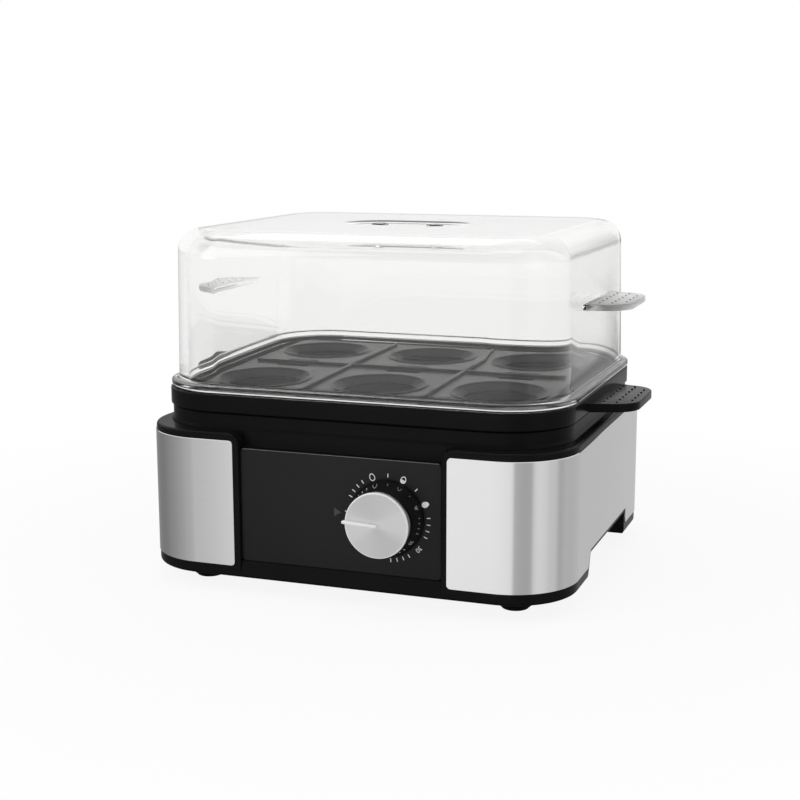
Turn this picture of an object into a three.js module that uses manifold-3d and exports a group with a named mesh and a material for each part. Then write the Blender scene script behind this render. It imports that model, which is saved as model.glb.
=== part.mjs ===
// Electric egg boiler for six eggs: a base with brushed-steel cheeks and a timer knob,
// a black egg tray that lifts out, and a clear lid that lifts off.
// Millimetres. +Z is up, the control face looks towards -Y, +X is to the user's right.

import * as THREE from 'three';
import { mergeVertices } from 'three/addons/utils/BufferGeometryUtils.js';
import Module from 'manifold-3d';

const wasm = await Module();
wasm.setup();

// Driving dimensions. The plan grows outwards from the eggs, the height upwards from the feet.

const seatGap = 0.3; // air between two pieces that rest on each other
const slideGap = 0.5; // air round a piece that lifts out by hand
const cutOverrun = 3; // how far each cutter runs past the face it opens

const egg = {
  width: 46,
  columnGap: 4.3, // between two eggs side by side
  rowGap: 20, // between the front and the back row
  seatWidthShare: 0.652, // hole that carries an egg, as a share of the egg's width
  cupWidthShare: 0.804, // mouth of the cup above that hole
};
const columns = [-1, 0, 1];
const rows = [-1, 1];
const sides = [-1, 1];
const wells = [-1, 0, 1]; // of the terminal block, one for each lead of the mains cord

const lid = {
  wall: 2,
  corner: 25,
  draftX: 1.3, // how far the walls lean in on their way up
  draftY: 0.4,
  height: 62.3, // from the flange's underside to the top
  topFillet: 9,
  flangeOverhang: 0.5, // past the tray's skirt
  flangeThickness: 2.6,
  flangeRound: 0.7,
  spigot: 2, // wall below the flange, inside the tray's rim
  recessLength: 50,
  recessWidth: 26,
  recessDepth: 2.4,
  ventSpacing: 24,
  ventRadius: 2.4,
  ventLip: 1.1,
  ventLipHeight: 0.7,
};
const lidTab = { reach: 17.3, width: 42, tipWidth: 36, corner: 9, thickness: 2.1, drop: 27.5 };

const tray = {
  skirtHeight: 7,
  skirtWall: 2,
  rimMargin: 2, // extra room between the rim and the lid's front and back walls
  edgeRound: 0.6,
  plate: 2.1,
  marginX: 2.2, // plateau beyond the outer cups
  marginY: 5.5,
  gutterX: 6.8, // trough between the plateau and the lid's wall
  gutterY: 8,
  gutterDepth: 3.6, // below the rim's top
  plateauDrop: 0.7, // below the rim's top
  plateauCorner: 8,
  plateauBevel: 0.8,
  cupDepth: 3.4,
  cupWall: 1.2,
  cupLipHeight: 0.5,
  ribWidth: 1.6,
  ribHeight: 1.1,
  ribInset: 3,
  slotLength: 15,
  slotWidth: 3.6,
  slotOffset: 5.5,
  spigotWall: 1.8,
};
const trayTab = { reach: 17.3, width: 42, tipWidth: 36, corner: 11, thickness: 2.8 };

const collar = { height: 6.2, step: 0.8, wall: 3, flare: 0.7, seatDrop: 4.5, seatWidth: 4 };

const body = {
  ledgeX: 4.3, // ledge between the collar and the steel, at the sides
  ledgeY: 7.1, // the same at the front and back
  corner: 26.5,
  wall: 2.4,
  sill: 4.5, // black edge below the steel
  sillLip: 2.4, // lowest band, which runs across the front in line with the cheeks
  sillRound: 1.3,
  sillCorner: 5, // how much fuller the corners are at the very bottom
  rim: 2.8, // black edge above the steel
  rimRound: 1.3,
  bezelStep: 0.3, // the steel stands this far proud of its black frame
  bezelWidth: 2.4,
  openingWidth: 81.8, // between the two cheeks, front and back
  openingCorner: 5,
  setback: 1.6, // the control face, behind the steel
};
const steel = { height: 49.8, thickness: 0.6, corner: 1.6 };
const grip = {
  length: 66,
  height: 9.2,
  depth: 12,
  wall: 2,
  corner: 4, // at the front end
  cornerMostShare: 0.5, // of the height
  backCorner: 0.6,
  lean: 2.2, // the front end's S curve spreads this far each way
  rim: 1.8, // black edge between the grip and the steel
};

const panel = { thickness: 1.6, bottomRise: 6.9, topDrop: 5.7 };

const foot = {
  height: 6.3,
  radius: 7.4,
  tipRadius: 5.4,
  domeShare: 0.2, // of the height, where the foot is half-way out
  shoulderShare: 0.6, // of the height, where it reaches its full width
  stemRadius: 2.6,
  bulbRadius: 3.8, // swells above the cover and holds the foot in
  bulbHeight: 3.2,
  insetX: 22.7,
  insetY: 20,
};
const cover = { recess: 2.4, thickness: 2.4, ventLength: 26, ventWidth: 3, ventPitch: 8, ventCount: 5 };
const coverScrew = {
  headRadius: 3,
  headTopShare: 0.7,
  headHeight: 1.5,
  shankRadius: 1.4,
  shankLength: 11,
};
const post = { radius: 4.2, insetX: 9.5, insetY: 8 };

const bowl = { thickness: 1.2, depth: 13, lean: 2, fillet: 4 };
const gasket = { width: 2.8, thickness: 1.1 };
const stud = { radius: 2, length: 13 };
const heater = { tubeRadius: 3.3, edgeMargin: 28.5, gap: 15, bend: 9, pinDrop: 13 };
const clamp = { thickness: 1.2, width: 14, overhang: 6 };
const nut = { radius: 3.7, height: 3 };
const thermostat = { radius: 7.5, height: 7.5, collarRadius: 9, collarHeight: 1.2 };
const fuse = { radius: 1.8, length: 17 };

const knob = {
  axisX: 19.6,
  axisHeightShare: 0.502, // of the panel's height
  baseRadius: 14.6,
  baseHeight: 1.5,
  skirtRadius: 14,
  faceRadius: 12.4,
  length: 10.3,
  wall: 1.6,
  hubRadius: 5.6,
  capThickness: 1.1,
  capBevel: 0.5,
  pointerWidth: 1.5,
  pointerHeight: 1.3,
  pointerOverhang: 0.8,
};
const shaft = { radius: 3, flat: 0.9, reach: 10 };
const timer = { width: 38, depth: 21, headroom: 3, corner: 3, seam: 1, seamDepth: 0.5, bushRadius: 5 };
const timerScrew = { spacing: 19, headRadius: 2.4, headHeight: 1.1, shankRadius: 1.3, shankLength: 9 };
const bell = {
  radius: 14,
  height: 7,
  thickness: 1.1,
  standoff: 1.5,
  postRadius: 1.8,
  crownShare: 0.6, // flat top, as a share of the radius
  mouthShare: 0.33, // upright lip, as a share of the height
};
const bellNut = { radius: 3.2, height: 2.2 };

const gland = { boreRadius: 3.4, wall: 2.2, flange: 1.8, flangeThickness: 1.2, x: 28, rise: 9 };
const terminal = {
  length: 26,
  width: 13,
  height: 10,
  x: -34,
  backInset: 18,
  pitchShare: 0.333, // from one well to the next, as a share of the length
  wellRadius: 2,
  wellDepth: 5,
};
const wires = { radius: 1.1, exit: 6, sag: 5, timerInset: 4 };

// Facet counts
const planSteps = 6; // on each corner of a plan
const filletSteps = 5; // on the lid's large fillet
const bowlSteps = 3;
const edgeSteps = 3; // on small rounds
const curveSteps = 4; // on each curve of a shape
const smallCurveSteps = 2;
const knobSteps = 30;
const turnSteps = 20;
const smallTurnSteps = 10;
const seatSteps = 16;
const hexagonSteps = 6;
const heaterPoints = 16;
const heaterSteps = 36;
const heaterFacets = 4;
const leadSteps = 10;
const leadFacets = 3;

// Plan sizes, each a rounded rectangle given by half its size in X and Y and its corner

const grow = (plan, x, y = x, r = x) => ({ x: plan.x + x, y: plan.y + y, r: plan.r + r });

const cupRadius = (egg.width * egg.cupWidthShare) / 2;
const seatRadius = (egg.width * egg.seatWidthShare) / 2;
const columnPitch = egg.width + egg.columnGap;
const rowOffset = (egg.width + egg.rowGap) / 2;

const plateauPlan = {
  x: columnPitch + cupRadius + tray.cupWall + tray.marginX,
  y: rowOffset + cupRadius + tray.cupWall + tray.marginY,
  r: tray.plateauCorner,
};
const lidPlan = {
  x: plateauPlan.x + tray.gutterX + lid.wall,
  y: plateauPlan.y + tray.gutterY + lid.wall,
  r: lid.corner,
};
const rimPlan = grow(lidPlan, slideGap, slideGap + tray.rimMargin, slideGap); // the tray's rim, inside
const skirtPlan = grow(rimPlan, tray.skirtWall); // the tray's rim, outside
const flangePlan = grow(skirtPlan, lid.flangeOverhang);
const collarPlan = grow(skirtPlan, -collar.step);
const collarInner = grow(collarPlan, -collar.wall);
const seatInner = grow(collarInner, -collar.seatWidth);
const bodyPlan = {
  x: collarPlan.x + body.ledgeX,
  y: collarPlan.y + body.ledgeY,
  r: body.corner,
};
const shellPlan = grow(bodyPlan, -body.bezelStep);
const pocketPlan = grow(bodyPlan, -steel.thickness - seatGap);
const cavityPlan = grow(pocketPlan, -body.wall);

// Heights above the floor

const shellBottom = foot.height;
const steelBottom = shellBottom + body.sill;
const steelTop = steelBottom + steel.height;
const ledgeTop = steelTop + body.rim;
const shellCeiling = ledgeTop - body.wall;
const collarTop = ledgeTop + collar.height;
const seatTop = collarTop - collar.seatDrop;
const trayBottom = collarTop + seatGap;
const trayTop = trayBottom + tray.skirtHeight;
const lidSeat = trayTop + seatGap;
const coverBottom = shellBottom + cover.recess;
const coverTop = coverBottom + cover.thickness;
const bowlRimBottom = seatTop + gasket.thickness + 2 * seatGap;
const bowlRimTop = bowlRimBottom + bowl.thickness;
const bowlUnderside = bowlRimTop - bowl.depth - bowl.thickness;
const panelBottom = shellBottom + panel.bottomRise;
const panelTop = ledgeTop - panel.topDrop;

// Depths behind the control face, and the knob's axis

const facePlane = -(bodyPlan.y - body.setback);
const collarFace = collarPlan.y + collar.flare;
const panelBack = facePlane + panel.thickness;
const panelPocket = panelBack + seatGap;
const frontWallInside = panelPocket + body.wall;
const ledgeWallInside = -collarFace + body.wall;
const knobZ = panelBottom + (panelTop - panelBottom) * knob.axisHeightShare;
const openingHalf = body.openingWidth / 2;
const pocketInside = bodyPlan.x - grip.depth;
const beyondShell = bodyPlan.y + cutOverrun;

// Solids

const xUnit = new THREE.Vector3(1, 0, 0);
const yUnit = new THREE.Vector3(0, 1, 0);
const zUnit = new THREE.Vector3(0, 0, 1);
const alongX = new THREE.Matrix4().makeBasis(yUnit, zUnit, xUnit);
const alongY = new THREE.Matrix4().makeBasis(xUnit, zUnit, yUnit.clone().negate());

function solidOf(vertices, triangles) {
  return new wasm.Manifold(
    new wasm.Mesh({
      numProp: 3,
      vertProperties: new Float32Array(vertices),
      triVerts: new Uint32Array(triangles),
    }),
  );
}

function solidFrom(geometry) {
  const bare = geometry.clone();
  bare.deleteAttribute('normal');
  bare.deleteAttribute('uv');
  const merged = mergeVertices(bare);
  return solidOf(merged.getAttribute('position').array, merged.getIndex().array);
}

function geometryOf(solid) {
  const made = solid.getMesh();
  const geometry = new THREE.BufferGeometry();
  const position = new Float32Array(made.numVert * 3);
  for (let i = 0; i < made.numVert; i++) {
    for (let k = 0; k < 3; k++) position[i * 3 + k] = made.vertProperties[i * made.numProp + k];
  }
  geometry.setAttribute('position', new THREE.BufferAttribute(position, 3));
  geometry.setIndex(new THREE.BufferAttribute(new Uint32Array(made.triVerts), 1));
  geometry.computeVertexNormals();
  return geometry;
}

// Points of a rounded rectangle, anticlockwise, at one height
function ringPoints({ plan, z }) {
  const r = Math.min(plan.r, plan.x, plan.y);
  const points = [];
  for (let corner = 0; corner < 4; corner++) {
    const signX = corner === 0 || corner === 3 ? 1 : -1;
    const signY = corner < 2 ? 1 : -1;
    for (let step = 0; step <= planSteps; step++) {
      const angle = ((corner + step / planSteps) * Math.PI) / 2;
      points.push([
        signX * (plan.x - r) + r * Math.cos(angle),
        signY * (plan.y - r) + r * Math.sin(angle),
        z,
      ]);
    }
  }
  return points;
}

// Skin over a stack of rounded rectangles. An open stack is capped at both ends, and runs from its
// lowest face outwards, up and back in. A closed one is a frame that returns to its first ring.
function ringSkin(rings, closed = false) {
  const vertices = [];
  const triangles = [];
  const loops = rings.map(ringPoints);
  const count = loops[0].length;
  loops.forEach((loop) => loop.forEach((point) => vertices.push(...point)));
  const bands = closed ? loops.length : loops.length - 1;
  for (let band = 0; band < bands; band++) {
    const low = band * count;
    const high = ((band + 1) % loops.length) * count;
    for (let i = 0; i < count; i++) {
      const next = (i + 1) % count;
      triangles.push(low + i, low + next, high + next, low + i, high + next, high + i);
    }
  }
  if (!closed) {
    const last = (loops.length - 1) * count;
    const lowCentre = vertices.length / 3;
    vertices.push(0, 0, rings[0].z, 0, 0, rings[rings.length - 1].z);
    for (let i = 0; i < count; i++) {
      const next = (i + 1) % count;
      triangles.push(lowCentre, next, i);
      triangles.push(lowCentre + 1, last + i, last + next);
    }
  }
  return solidOf(vertices, triangles);
}

// Straight-sided block on a rounded rectangle
const block = (plan, bottom, top) => ringSkin([{ plan, z: bottom }, { plan, z: top }]);

// Quarter-round stretch of rings: from the flank at angle 0 to the top at a right angle
function roundOver(plan, top, radius, steps) {
  return Array.from({ length: steps + 1 }, (_, i) => {
    const angle = ((i / steps) * Math.PI) / 2;
    const inset = radius * (1 - Math.cos(angle));
    return { plan: grow(plan, -inset), z: top - radius * (1 - Math.sin(angle)) };
  });
}

// The same at the bottom: from the underside out to the flank
function roundUnder(plan, bottom, radius, fuller, steps) {
  return Array.from({ length: steps + 1 }, (_, i) => {
    const angle = ((i / steps) * Math.PI) / 2;
    const left = 1 - Math.sin(angle);
    return {
      plan: grow(plan, -radius * left, -radius * left, fuller * left),
      z: bottom + radius * (1 - Math.cos(angle)),
    };
  });
}

// Box between two opposite corners, given in either order
function box(corner, opposite) {
  const geometry = new THREE.BoxGeometry(...corner.map((value, i) => Math.abs(opposite[i] - value)));
  geometry.translate(...corner.map((value, i) => (value + opposite[i]) / 2));
  return solidFrom(geometry);
}

// Prism on a shape drawn in XY, XZ (along Y) or YZ (along X)
function prism(shape, axis, from, to, curveSegments = planSteps) {
  const geometry = new THREE.ExtrudeGeometry(shape, {
    depth: to - from,
    bevelEnabled: false,
    curveSegments,
  });
  if (axis === 'x') geometry.applyMatrix4(alongX).translate(from, 0, 0);
  if (axis === 'y') geometry.applyMatrix4(alongY).translate(0, to, 0);
  if (axis === 'z') geometry.translate(0, 0, from);
  return solidFrom(geometry);
}

// Turned solid on the Z axis, or on Y or X: a profile of [radius, distance along the axis]
function turned(profile, axis = 'z', steps = turnSteps) {
  const geometry = new THREE.LatheGeometry(
    profile.map(([radius, along]) => new THREE.Vector2(radius, along)),
    steps,
  );
  if (axis === 'z') geometry.rotateX(Math.PI / 2);
  if (axis === 'x') geometry.rotateZ(-Math.PI / 2);
  return solidFrom(geometry);
}

const rod = (radius, from, to, axis = 'z', steps = turnSteps) =>
  turned([[0, from], [radius, from], [radius, to], [0, to]], axis, steps);

const hexagon = (radius, from, to, axis) => rod(radius, from, to, axis, hexagonSteps);

// Round tube along a smooth curve through the points
function tube(points, radius, steps, facets) {
  const section = new THREE.Shape();
  section.absarc(0, 0, radius, 0, Math.PI * 2, false);
  const path = new THREE.CatmullRomCurve3(points.map((p) => new THREE.Vector3(...p)));
  const geometry = new THREE.ExtrudeGeometry(section, {
    steps,
    curveSegments: facets,
    extrudePath: path,
  });
  return solidFrom(geometry);
}

// Rectangle with the same radius on every corner
function roundedShape(left, bottom, right, top, radius) {
  const r = Math.min(radius, (right - left) / 2, (top - bottom) / 2);
  const shape = new THREE.Shape();
  shape.moveTo(left + r, bottom);
  shape.lineTo(right - r, bottom);
  shape.absarc(right - r, bottom + r, r, -Math.PI / 2, 0, false);
  shape.lineTo(right, top - r);
  shape.absarc(right - r, top - r, r, 0, Math.PI / 2, false);
  shape.lineTo(left + r, top);
  shape.absarc(left + r, top - r, r, Math.PI / 2, Math.PI, false);
  shape.lineTo(left, bottom + r);
  shape.absarc(left + r, bottom + r, r, Math.PI, Math.PI * 1.5, false);
  return shape;
}

function polygon(points) {
  return new THREE.Shape(points.map(([u, v]) => new THREE.Vector2(u, v)));
}

const unite = (solids) => solids.reduce((sum, solid) => sum.add(solid));
const cut = (solid, cutters) => cutters.reduce((rest, cutter) => rest.subtract(cutter), solid);

// Materials

const material = (color, roughness, metalness = 0) =>
  new THREE.MeshStandardMaterial({ color, roughness, metalness });

const blackPlastic = material(0x1a1a1b, 0.45);
const panelPlastic = material(0x222223, 0.35);
const clearPlastic = material(0xe9eeee, 0.08);
clearPlastic.transparent = true;
clearPlastic.opacity = 0.3;
const brushedSteel = material(0xc4c4c4, 0.32, 1);
const spunAluminium = material(0xcfcfcf, 0.28, 1);
const coatedAluminium = material(0x2c2c2e, 0.5, 0.2);
const heaterSteel = material(0x7d7a76, 0.45, 1);
const zincSteel = material(0xa9a9a6, 0.4, 1);
const blackRubber = material(0x111111, 0.8);
const silicone = material(0x8f8f8d, 0.7);
const creamPlastic = material(0xd8d2c2, 0.5);
const leadSleeve = material(0x9c3a2f, 0.55);

function piece(name, solid, pieceMaterial, parent) {
  const mesh = new THREE.Mesh(geometryOf(solid), pieceMaterial);
  mesh.name = name;
  parent.add(mesh);
  return mesh;
}

// Finger tab that stands out from a wall at the right, centred on Y. It starts inside the wall.
function tabShape(rootX, tipX, tab) {
  const root = tab.width / 2;
  const tip = tab.tipWidth / 2;
  const r = Math.min(tab.corner, tip, tipX - rootX);
  const shape = new THREE.Shape();
  shape.moveTo(rootX, -root);
  shape.lineTo(tipX - r, -tip);
  shape.absarc(tipX - r, -tip + r, r, -Math.PI / 2, 0, false);
  shape.lineTo(tipX, tip - r);
  shape.absarc(tipX - r, tip - r, r, 0, Math.PI / 2, false);
  shape.lineTo(rootX, root);
  return shape;
}

function tabPair(rootX, tipX, tab, bottom) {
  const right = prism(tabShape(rootX, tipX, tab), 'z', bottom, bottom + tab.thickness);
  return right.add(right.mirror([1, 0, 0]));
}

// Lid, in its own frame with the flange's underside at zero

function buildLid() {
  const bottom = -lid.spigot;
  const innerBottom = grow(lidPlan, -lid.wall);
  const topPlan = grow(lidPlan, -lid.draftX, -lid.draftY, -lid.draftX);
  const innerFillet = Math.max(lid.topFillet - lid.wall, lid.wall);
  const ceiling = lid.height - lid.wall;
  const innerTop = roundOver(grow(topPlan, -lid.wall), ceiling, innerFillet, curveSteps);
  const shell = ringSkin([
    ...innerTop.slice().reverse(),
    { plan: innerBottom, z: bottom },
    { plan: lidPlan, z: bottom },
    { plan: lidPlan, z: 0 },
    { plan: grow(flangePlan, -lid.flangeRound), z: 0 },
    { plan: flangePlan, z: lid.flangeRound },
    { plan: flangePlan, z: lid.flangeThickness - lid.flangeRound },
    { plan: grow(flangePlan, -lid.flangeRound), z: lid.flangeThickness },
    { plan: lidPlan, z: lid.flangeThickness },
    ...roundOver(topPlan, lid.height, lid.topFillet, filletSteps),
  ]);

  const floor = lid.height - lid.recessDepth;
  const under = floor - lid.wall;
  const ventHole = rod(lid.ventRadius, under - cutOverrun, lid.height + cutOverrun, 'z', smallTurnSteps);
  const ventLip = rod(lid.ventRadius + lid.ventLip, under, floor + lid.ventLipHeight, 'z', smallTurnSteps);
  const atVents = (solid) => sides.map((side) => solid.translate([(side * lid.ventSpacing) / 2, 0, 0]));
  const tabBottom = lid.height - lidTab.drop - lidTab.thickness;
  const tabs = tabPair(topPlan.x - lid.wall / 2, lidPlan.x + lidTab.reach, lidTab, tabBottom);
  const closed = unite([shell, recessDish(lid.wall, under, lid.height - lid.wall / 2), tabs]);
  const dished = closed.subtract(recessDish(0, floor, lid.height + cutOverrun));
  return cut(unite([dished, ...atVents(ventLip)]), atVents(ventHole));
}

// The recess in the lid's top, or the thicker form round it
function recessDish(margin, from, to) {
  const halfLength = lid.recessLength / 2 + margin;
  const halfWidth = lid.recessWidth / 2 + margin;
  const outline = roundedShape(-halfLength, -halfWidth, halfLength, halfWidth, halfWidth);
  return prism(outline, 'z', from, to, curveSteps);
}

// Egg tray, in its own frame with the foot of its skirt at zero

function buildTray() {
  const top = tray.skirtHeight;
  const plateauTop = top - tray.plateauDrop;
  const gutterTop = top - tray.gutterDepth;
  const gutterUnder = gutterTop - tray.plate;
  const spigotOuter = grow(collarInner, -slideGap);
  const spigotInner = grow(spigotOuter, -tray.spigotWall);
  const spigotFoot = bowlRimTop + slideGap - trayBottom;
  const underPlateau = grow(plateauPlan, -tray.plate);
  const tabs = tabPair(rimPlan.x + tray.skirtWall / 2, skirtPlan.x + trayTab.reach, trayTab, 0);
  const plate = ringSkin([
    { plan: underPlateau, z: plateauTop - tray.plate },
    { plan: underPlateau, z: gutterUnder },
    { plan: spigotInner, z: gutterUnder },
    { plan: spigotInner, z: spigotFoot },
    { plan: spigotOuter, z: spigotFoot },
    { plan: spigotOuter, z: gutterUnder },
    { plan: rimPlan, z: gutterUnder },
    { plan: rimPlan, z: 0 },
    { plan: grow(skirtPlan, -tray.edgeRound), z: 0 },
    { plan: skirtPlan, z: tray.edgeRound },
    { plan: skirtPlan, z: top - tray.edgeRound },
    { plan: grow(skirtPlan, -tray.edgeRound), z: top },
    { plan: rimPlan, z: top },
    { plan: rimPlan, z: gutterTop },
    { plan: plateauPlan, z: gutterTop },
    { plan: plateauPlan, z: plateauTop - tray.plateauBevel },
    { plan: grow(plateauPlan, -tray.plateauBevel), z: plateauTop },
  ]);

  const cells = columns.flatMap((column) => rows.map((row) => [column * columnPitch, row * rowOffset, 0]));
  const mouthRadius = cupRadius + tray.cupWall / 2;
  const mouth = rod(mouthRadius, spigotFoot - cutOverrun, top + cutOverrun, 'z', seatSteps);
  const opened = cut(plate, [...cells.map((cell) => mouth.translate(cell)), ...steamSlots(top)]);
  const cup = buildCup(plateauTop);
  return unite([opened, ...trayRibs(plateauTop), ...cells.map((cell) => cup.translate(cell)), tabs]);
}

// Funnel that an egg stands in, turned round its own axis
function buildCup(plateauTop) {
  const floor = plateauTop - tray.cupDepth;
  const outer = cupRadius + tray.cupWall;
  return turned(
    [
      [seatRadius, floor],
      [seatRadius + tray.cupWall, floor],
      [outer, plateauTop - tray.plate],
      [outer, plateauTop + tray.cupLipHeight],
      [cupRadius, plateauTop + tray.cupLipHeight],
      [seatRadius, floor + tray.cupWall],
      [seatRadius, floor],
    ],
    'z',
    seatSteps,
  );
}

// One long rib between the rows and one between each two columns
function trayRibs(plateauTop) {
  const low = plateauTop - tray.plate / 2;
  const high = plateauTop + tray.ribHeight;
  const x = plateauPlan.x - tray.ribInset;
  const y = plateauPlan.y - tray.ribInset;
  const half = tray.ribWidth / 2;
  const across = box([-half, -y, low], [half, y, high]);
  return [
    box([-x, -half, low], [x, half, high]),
    ...sides.map((side) => across.translate([(side * columnPitch) / 2, 0, 0])),
  ];
}

// Two slots beside the middle rib for each column, which let the steam up
function steamSlots(top) {
  const half = tray.slotWidth / 2;
  const outline = roundedShape(-tray.slotLength / 2, -half, tray.slotLength / 2, half, half);
  const slot = prism(outline, 'z', -cutOverrun, top + cutOverrun, smallCurveSteps);
  return columns.flatMap((column) =>
    sides.map((side) => slot.translate([column * columnPitch, side * tray.slotOffset, 0])),
  );
}

// Outline of a finger grip in the side wall, open at the bottom: an S curve at its front end and
// an upright edge with a small round at its back
function gripShape(margin) {
  const half = grip.length / 2 + margin;
  const top = shellBottom + grip.height + margin;
  const r = Math.min(grip.corner, grip.height * grip.cornerMostShare);
  const middle = (shellBottom + margin + top) / 2;
  const shape = new THREE.Shape();
  shape.moveTo(-half - grip.lean, -cutOverrun);
  shape.lineTo(half, -cutOverrun);
  shape.lineTo(half, top - grip.backCorner);
  shape.quadraticCurveTo(half, top, half - grip.backCorner, top);
  shape.lineTo(-half + grip.lean + r, top);
  shape.quadraticCurveTo(-half + grip.lean, top, -half, middle);
  shape.quadraticCurveTo(-half - grip.lean, shellBottom + margin, -half - grip.lean, shellBottom);
  return shape;
}

// Both grips at once, from an inner depth out past the steel
function gripPair(margin, inside) {
  const right = prism(gripShape(margin), 'x', inside, bodyPlan.x + cutOverrun, curveSteps);
  return right.add(right.mirror([1, 0, 0]));
}

// Steel cheek skin, or the pocket that holds it, on one side
function cheekSkin(outer, inner, margin, side) {
  const bottom = steelBottom - margin;
  const top = steelTop + margin;
  const ring = ringSkin(
    [
      { plan: inner, z: bottom },
      { plan: outer, z: bottom },
      { plan: outer, z: top },
      { plan: inner, z: top },
    ],
    true,
  );
  const edge = openingHalf + body.bezelWidth - margin;
  const window = roundedShape(edge, bottom, bodyPlan.x * 2, top, steel.corner);
  const slab = prism(window, 'y', -beyondShell, beyondShell, edgeSteps);
  return ring
    .intersect(side > 0 ? slab : slab.mirror([1, 0, 0]))
    .subtract(gripPair(grip.rim - margin, openingHalf));
}

// Black housing: cheeks, collar, bowl seat, finger grips and screw posts

function coverScrewPlaces() {
  const x = openingHalf + post.insetX;
  const y = bodyPlan.y - post.insetY;
  return sides.flatMap((sideX) => sides.map((sideY) => [sideX * x, sideY * y]));
}

function timerScrewPlaces() {
  return sides.map((side) => knob.axisX + (side * timerScrew.spacing) / 2);
}

// The four quarters of a cutter that is drawn for positive X and Y
function fourWays(solid) {
  const pair = [solid, solid.mirror([1, 0, 0])];
  return [...pair, ...pair.map((one) => one.mirror([0, 1, 0]))];
}

// Cheeks and collar as one solid, before it is hollowed out
function shellBlank() {
  const cheeks = ringSkin([
    ...roundUnder(shellPlan, shellBottom, body.sillRound, body.sillCorner, edgeSteps),
    ...roundOver(shellPlan, ledgeTop, body.rimRound, edgeSteps),
  ]);
  const neck = ringSkin([
    { plan: collarPlan, z: shellCeiling },
    { plan: grow(collarPlan, collar.flare), z: ledgeTop },
    { plan: collarPlan, z: ledgeTop + collar.flare * 2 },
    { plan: collarPlan, z: collarTop },
  ]);
  return cheeks.add(neck);
}

// Walls that stay across the middle: behind the control face and under the small ledge above it
function middleWalls() {
  const half = openingHalf + body.wall;
  const walls = [[frontWallInside, shellBottom], [ledgeWallInside, panelTop - body.wall]];
  return walls.flatMap(([inside, bottom]) =>
    sides.map((side) =>
      box([-half, -side * inside, bottom], [half, side * bodyPlan.y, shellCeiling + cutOverrun]),
    ),
  );
}

function screwPosts() {
  const rounded = rod(post.radius, coverTop + seatGap, shellCeiling + cutOverrun, 'z', smallTurnSteps);
  return coverScrewPlaces().map(([x, y]) => rounded.translate([x, y, 0]));
}

// Walls round the finger pockets
function gripWalls() {
  const half = grip.length / 2 + grip.lean + grip.wall;
  const low = shellBottom - cutOverrun;
  const high = shellBottom + grip.height + grip.wall;
  const inside = pocketInside - grip.wall;
  return sides.map((side) => box([side * inside, -half, low], [side * bodyPlan.x, half, high]));
}

function shellCavity() {
  return cut(block(cavityPlan, shellBottom - cutOverrun, shellCeiling), [
    ...middleWalls(),
    ...screwPosts(),
    ...gripWalls(),
  ]);
}

// Between the cheeks: down from the collar, out over the panel's ledge, down the control face and
// out to the sill
function middleCuts() {
  const high = collarTop + cutOverrun;
  const sillTop = shellBottom + body.sillLip;
  const section = polygon([
    [beyondShell, sillTop],
    [beyondShell, high],
    [collarFace, high],
    [collarFace, panelTop],
    [-facePlane, panelTop],
    [-facePlane, panelBottom],
    [shellPlan.y, sillTop],
  ]);
  const back = prism(section, 'x', -openingHalf, openingHalf);
  return [back, back.mirror([0, 1, 0])];
}

// Rounded upper corners of the cheeks, seen from the front
function cheekCornerCuts() {
  const high = collarTop + cutOverrun;
  const low = ledgeTop - body.openingCorner;
  const far = openingHalf + body.openingCorner;
  const shape = new THREE.Shape();
  shape.moveTo(openingHalf - seatGap, high);
  shape.lineTo(openingHalf - seatGap, low);
  shape.lineTo(openingHalf, low);
  shape.absarc(far, low, body.openingCorner, Math.PI, Math.PI / 2, true);
  shape.lineTo(far, high);
  return fourWays(prism(shape, 'y', collarFace, beyondShell, curveSteps));
}

function shellHoles() {
  const shaftHole = rod(timer.bushRadius + slideGap, -beyondShell, 0, 'y');
  const timerHole = rod(timerScrew.shankRadius + seatGap, -beyondShell, 0, 'y', smallTurnSteps);
  const screwEnd = coverBottom + coverScrew.shankLength + cutOverrun;
  const pilot = rod(coverScrew.shankRadius + seatGap, coverTop - cutOverrun, screwEnd, 'z', smallTurnSteps);
  const glandHole = rod(gland.boreRadius + gland.wall + seatGap, 0, beyondShell, 'y');
  return [
    box([-openingHalf, -beyondShell, panelBottom - seatGap], [openingHalf, panelPocket, panelTop + seatGap]),
    shaftHole.translate([knob.axisX, 0, knobZ]),
    ...timerScrewPlaces().map((x) => timerHole.translate([x, 0, knobZ])),
    ...coverScrewPlaces().map(([x, y]) => pilot.translate([x, y, 0])),
    glandHole.translate([gland.x, 0, coverTop + gland.rise]),
  ];
}

function buildShell() {
  const opened = cut(shellBlank(), [
    shellCavity(),
    block(seatInner, shellCeiling - cutOverrun, collarTop + cutOverrun),
    block(collarInner, seatTop, collarTop + cutOverrun),
    ...middleCuts(),
    ...cheekCornerCuts(),
    ...shellHoles(),
    gripPair(0, pocketInside),
  ]);
  const grown = grow(bodyPlan, cutOverrun);
  return cut(opened, sides.map((side) => cheekSkin(grown, pocketPlan, seatGap, side)));
}

function buildPanel() {
  const half = openingHalf - seatGap;
  const outline = roundedShape(-half, panelBottom, half, panelTop, steel.corner);
  const plate = prism(outline, 'y', facePlane, panelBack, edgeSteps);
  const front = facePlane - cutOverrun;
  const back = panelBack + cutOverrun;
  const hole = rod(timer.bushRadius + slideGap, front, back, 'y');
  const screwHole = rod(timerScrew.headRadius + slideGap, front, back, 'y', smallTurnSteps);
  return cut(plate, [
    hole.translate([knob.axisX, 0, knobZ]),
    ...timerScrewPlaces().map((x) => screwHole.translate([x, 0, knobZ])),
  ]);
}

// Underside

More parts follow.
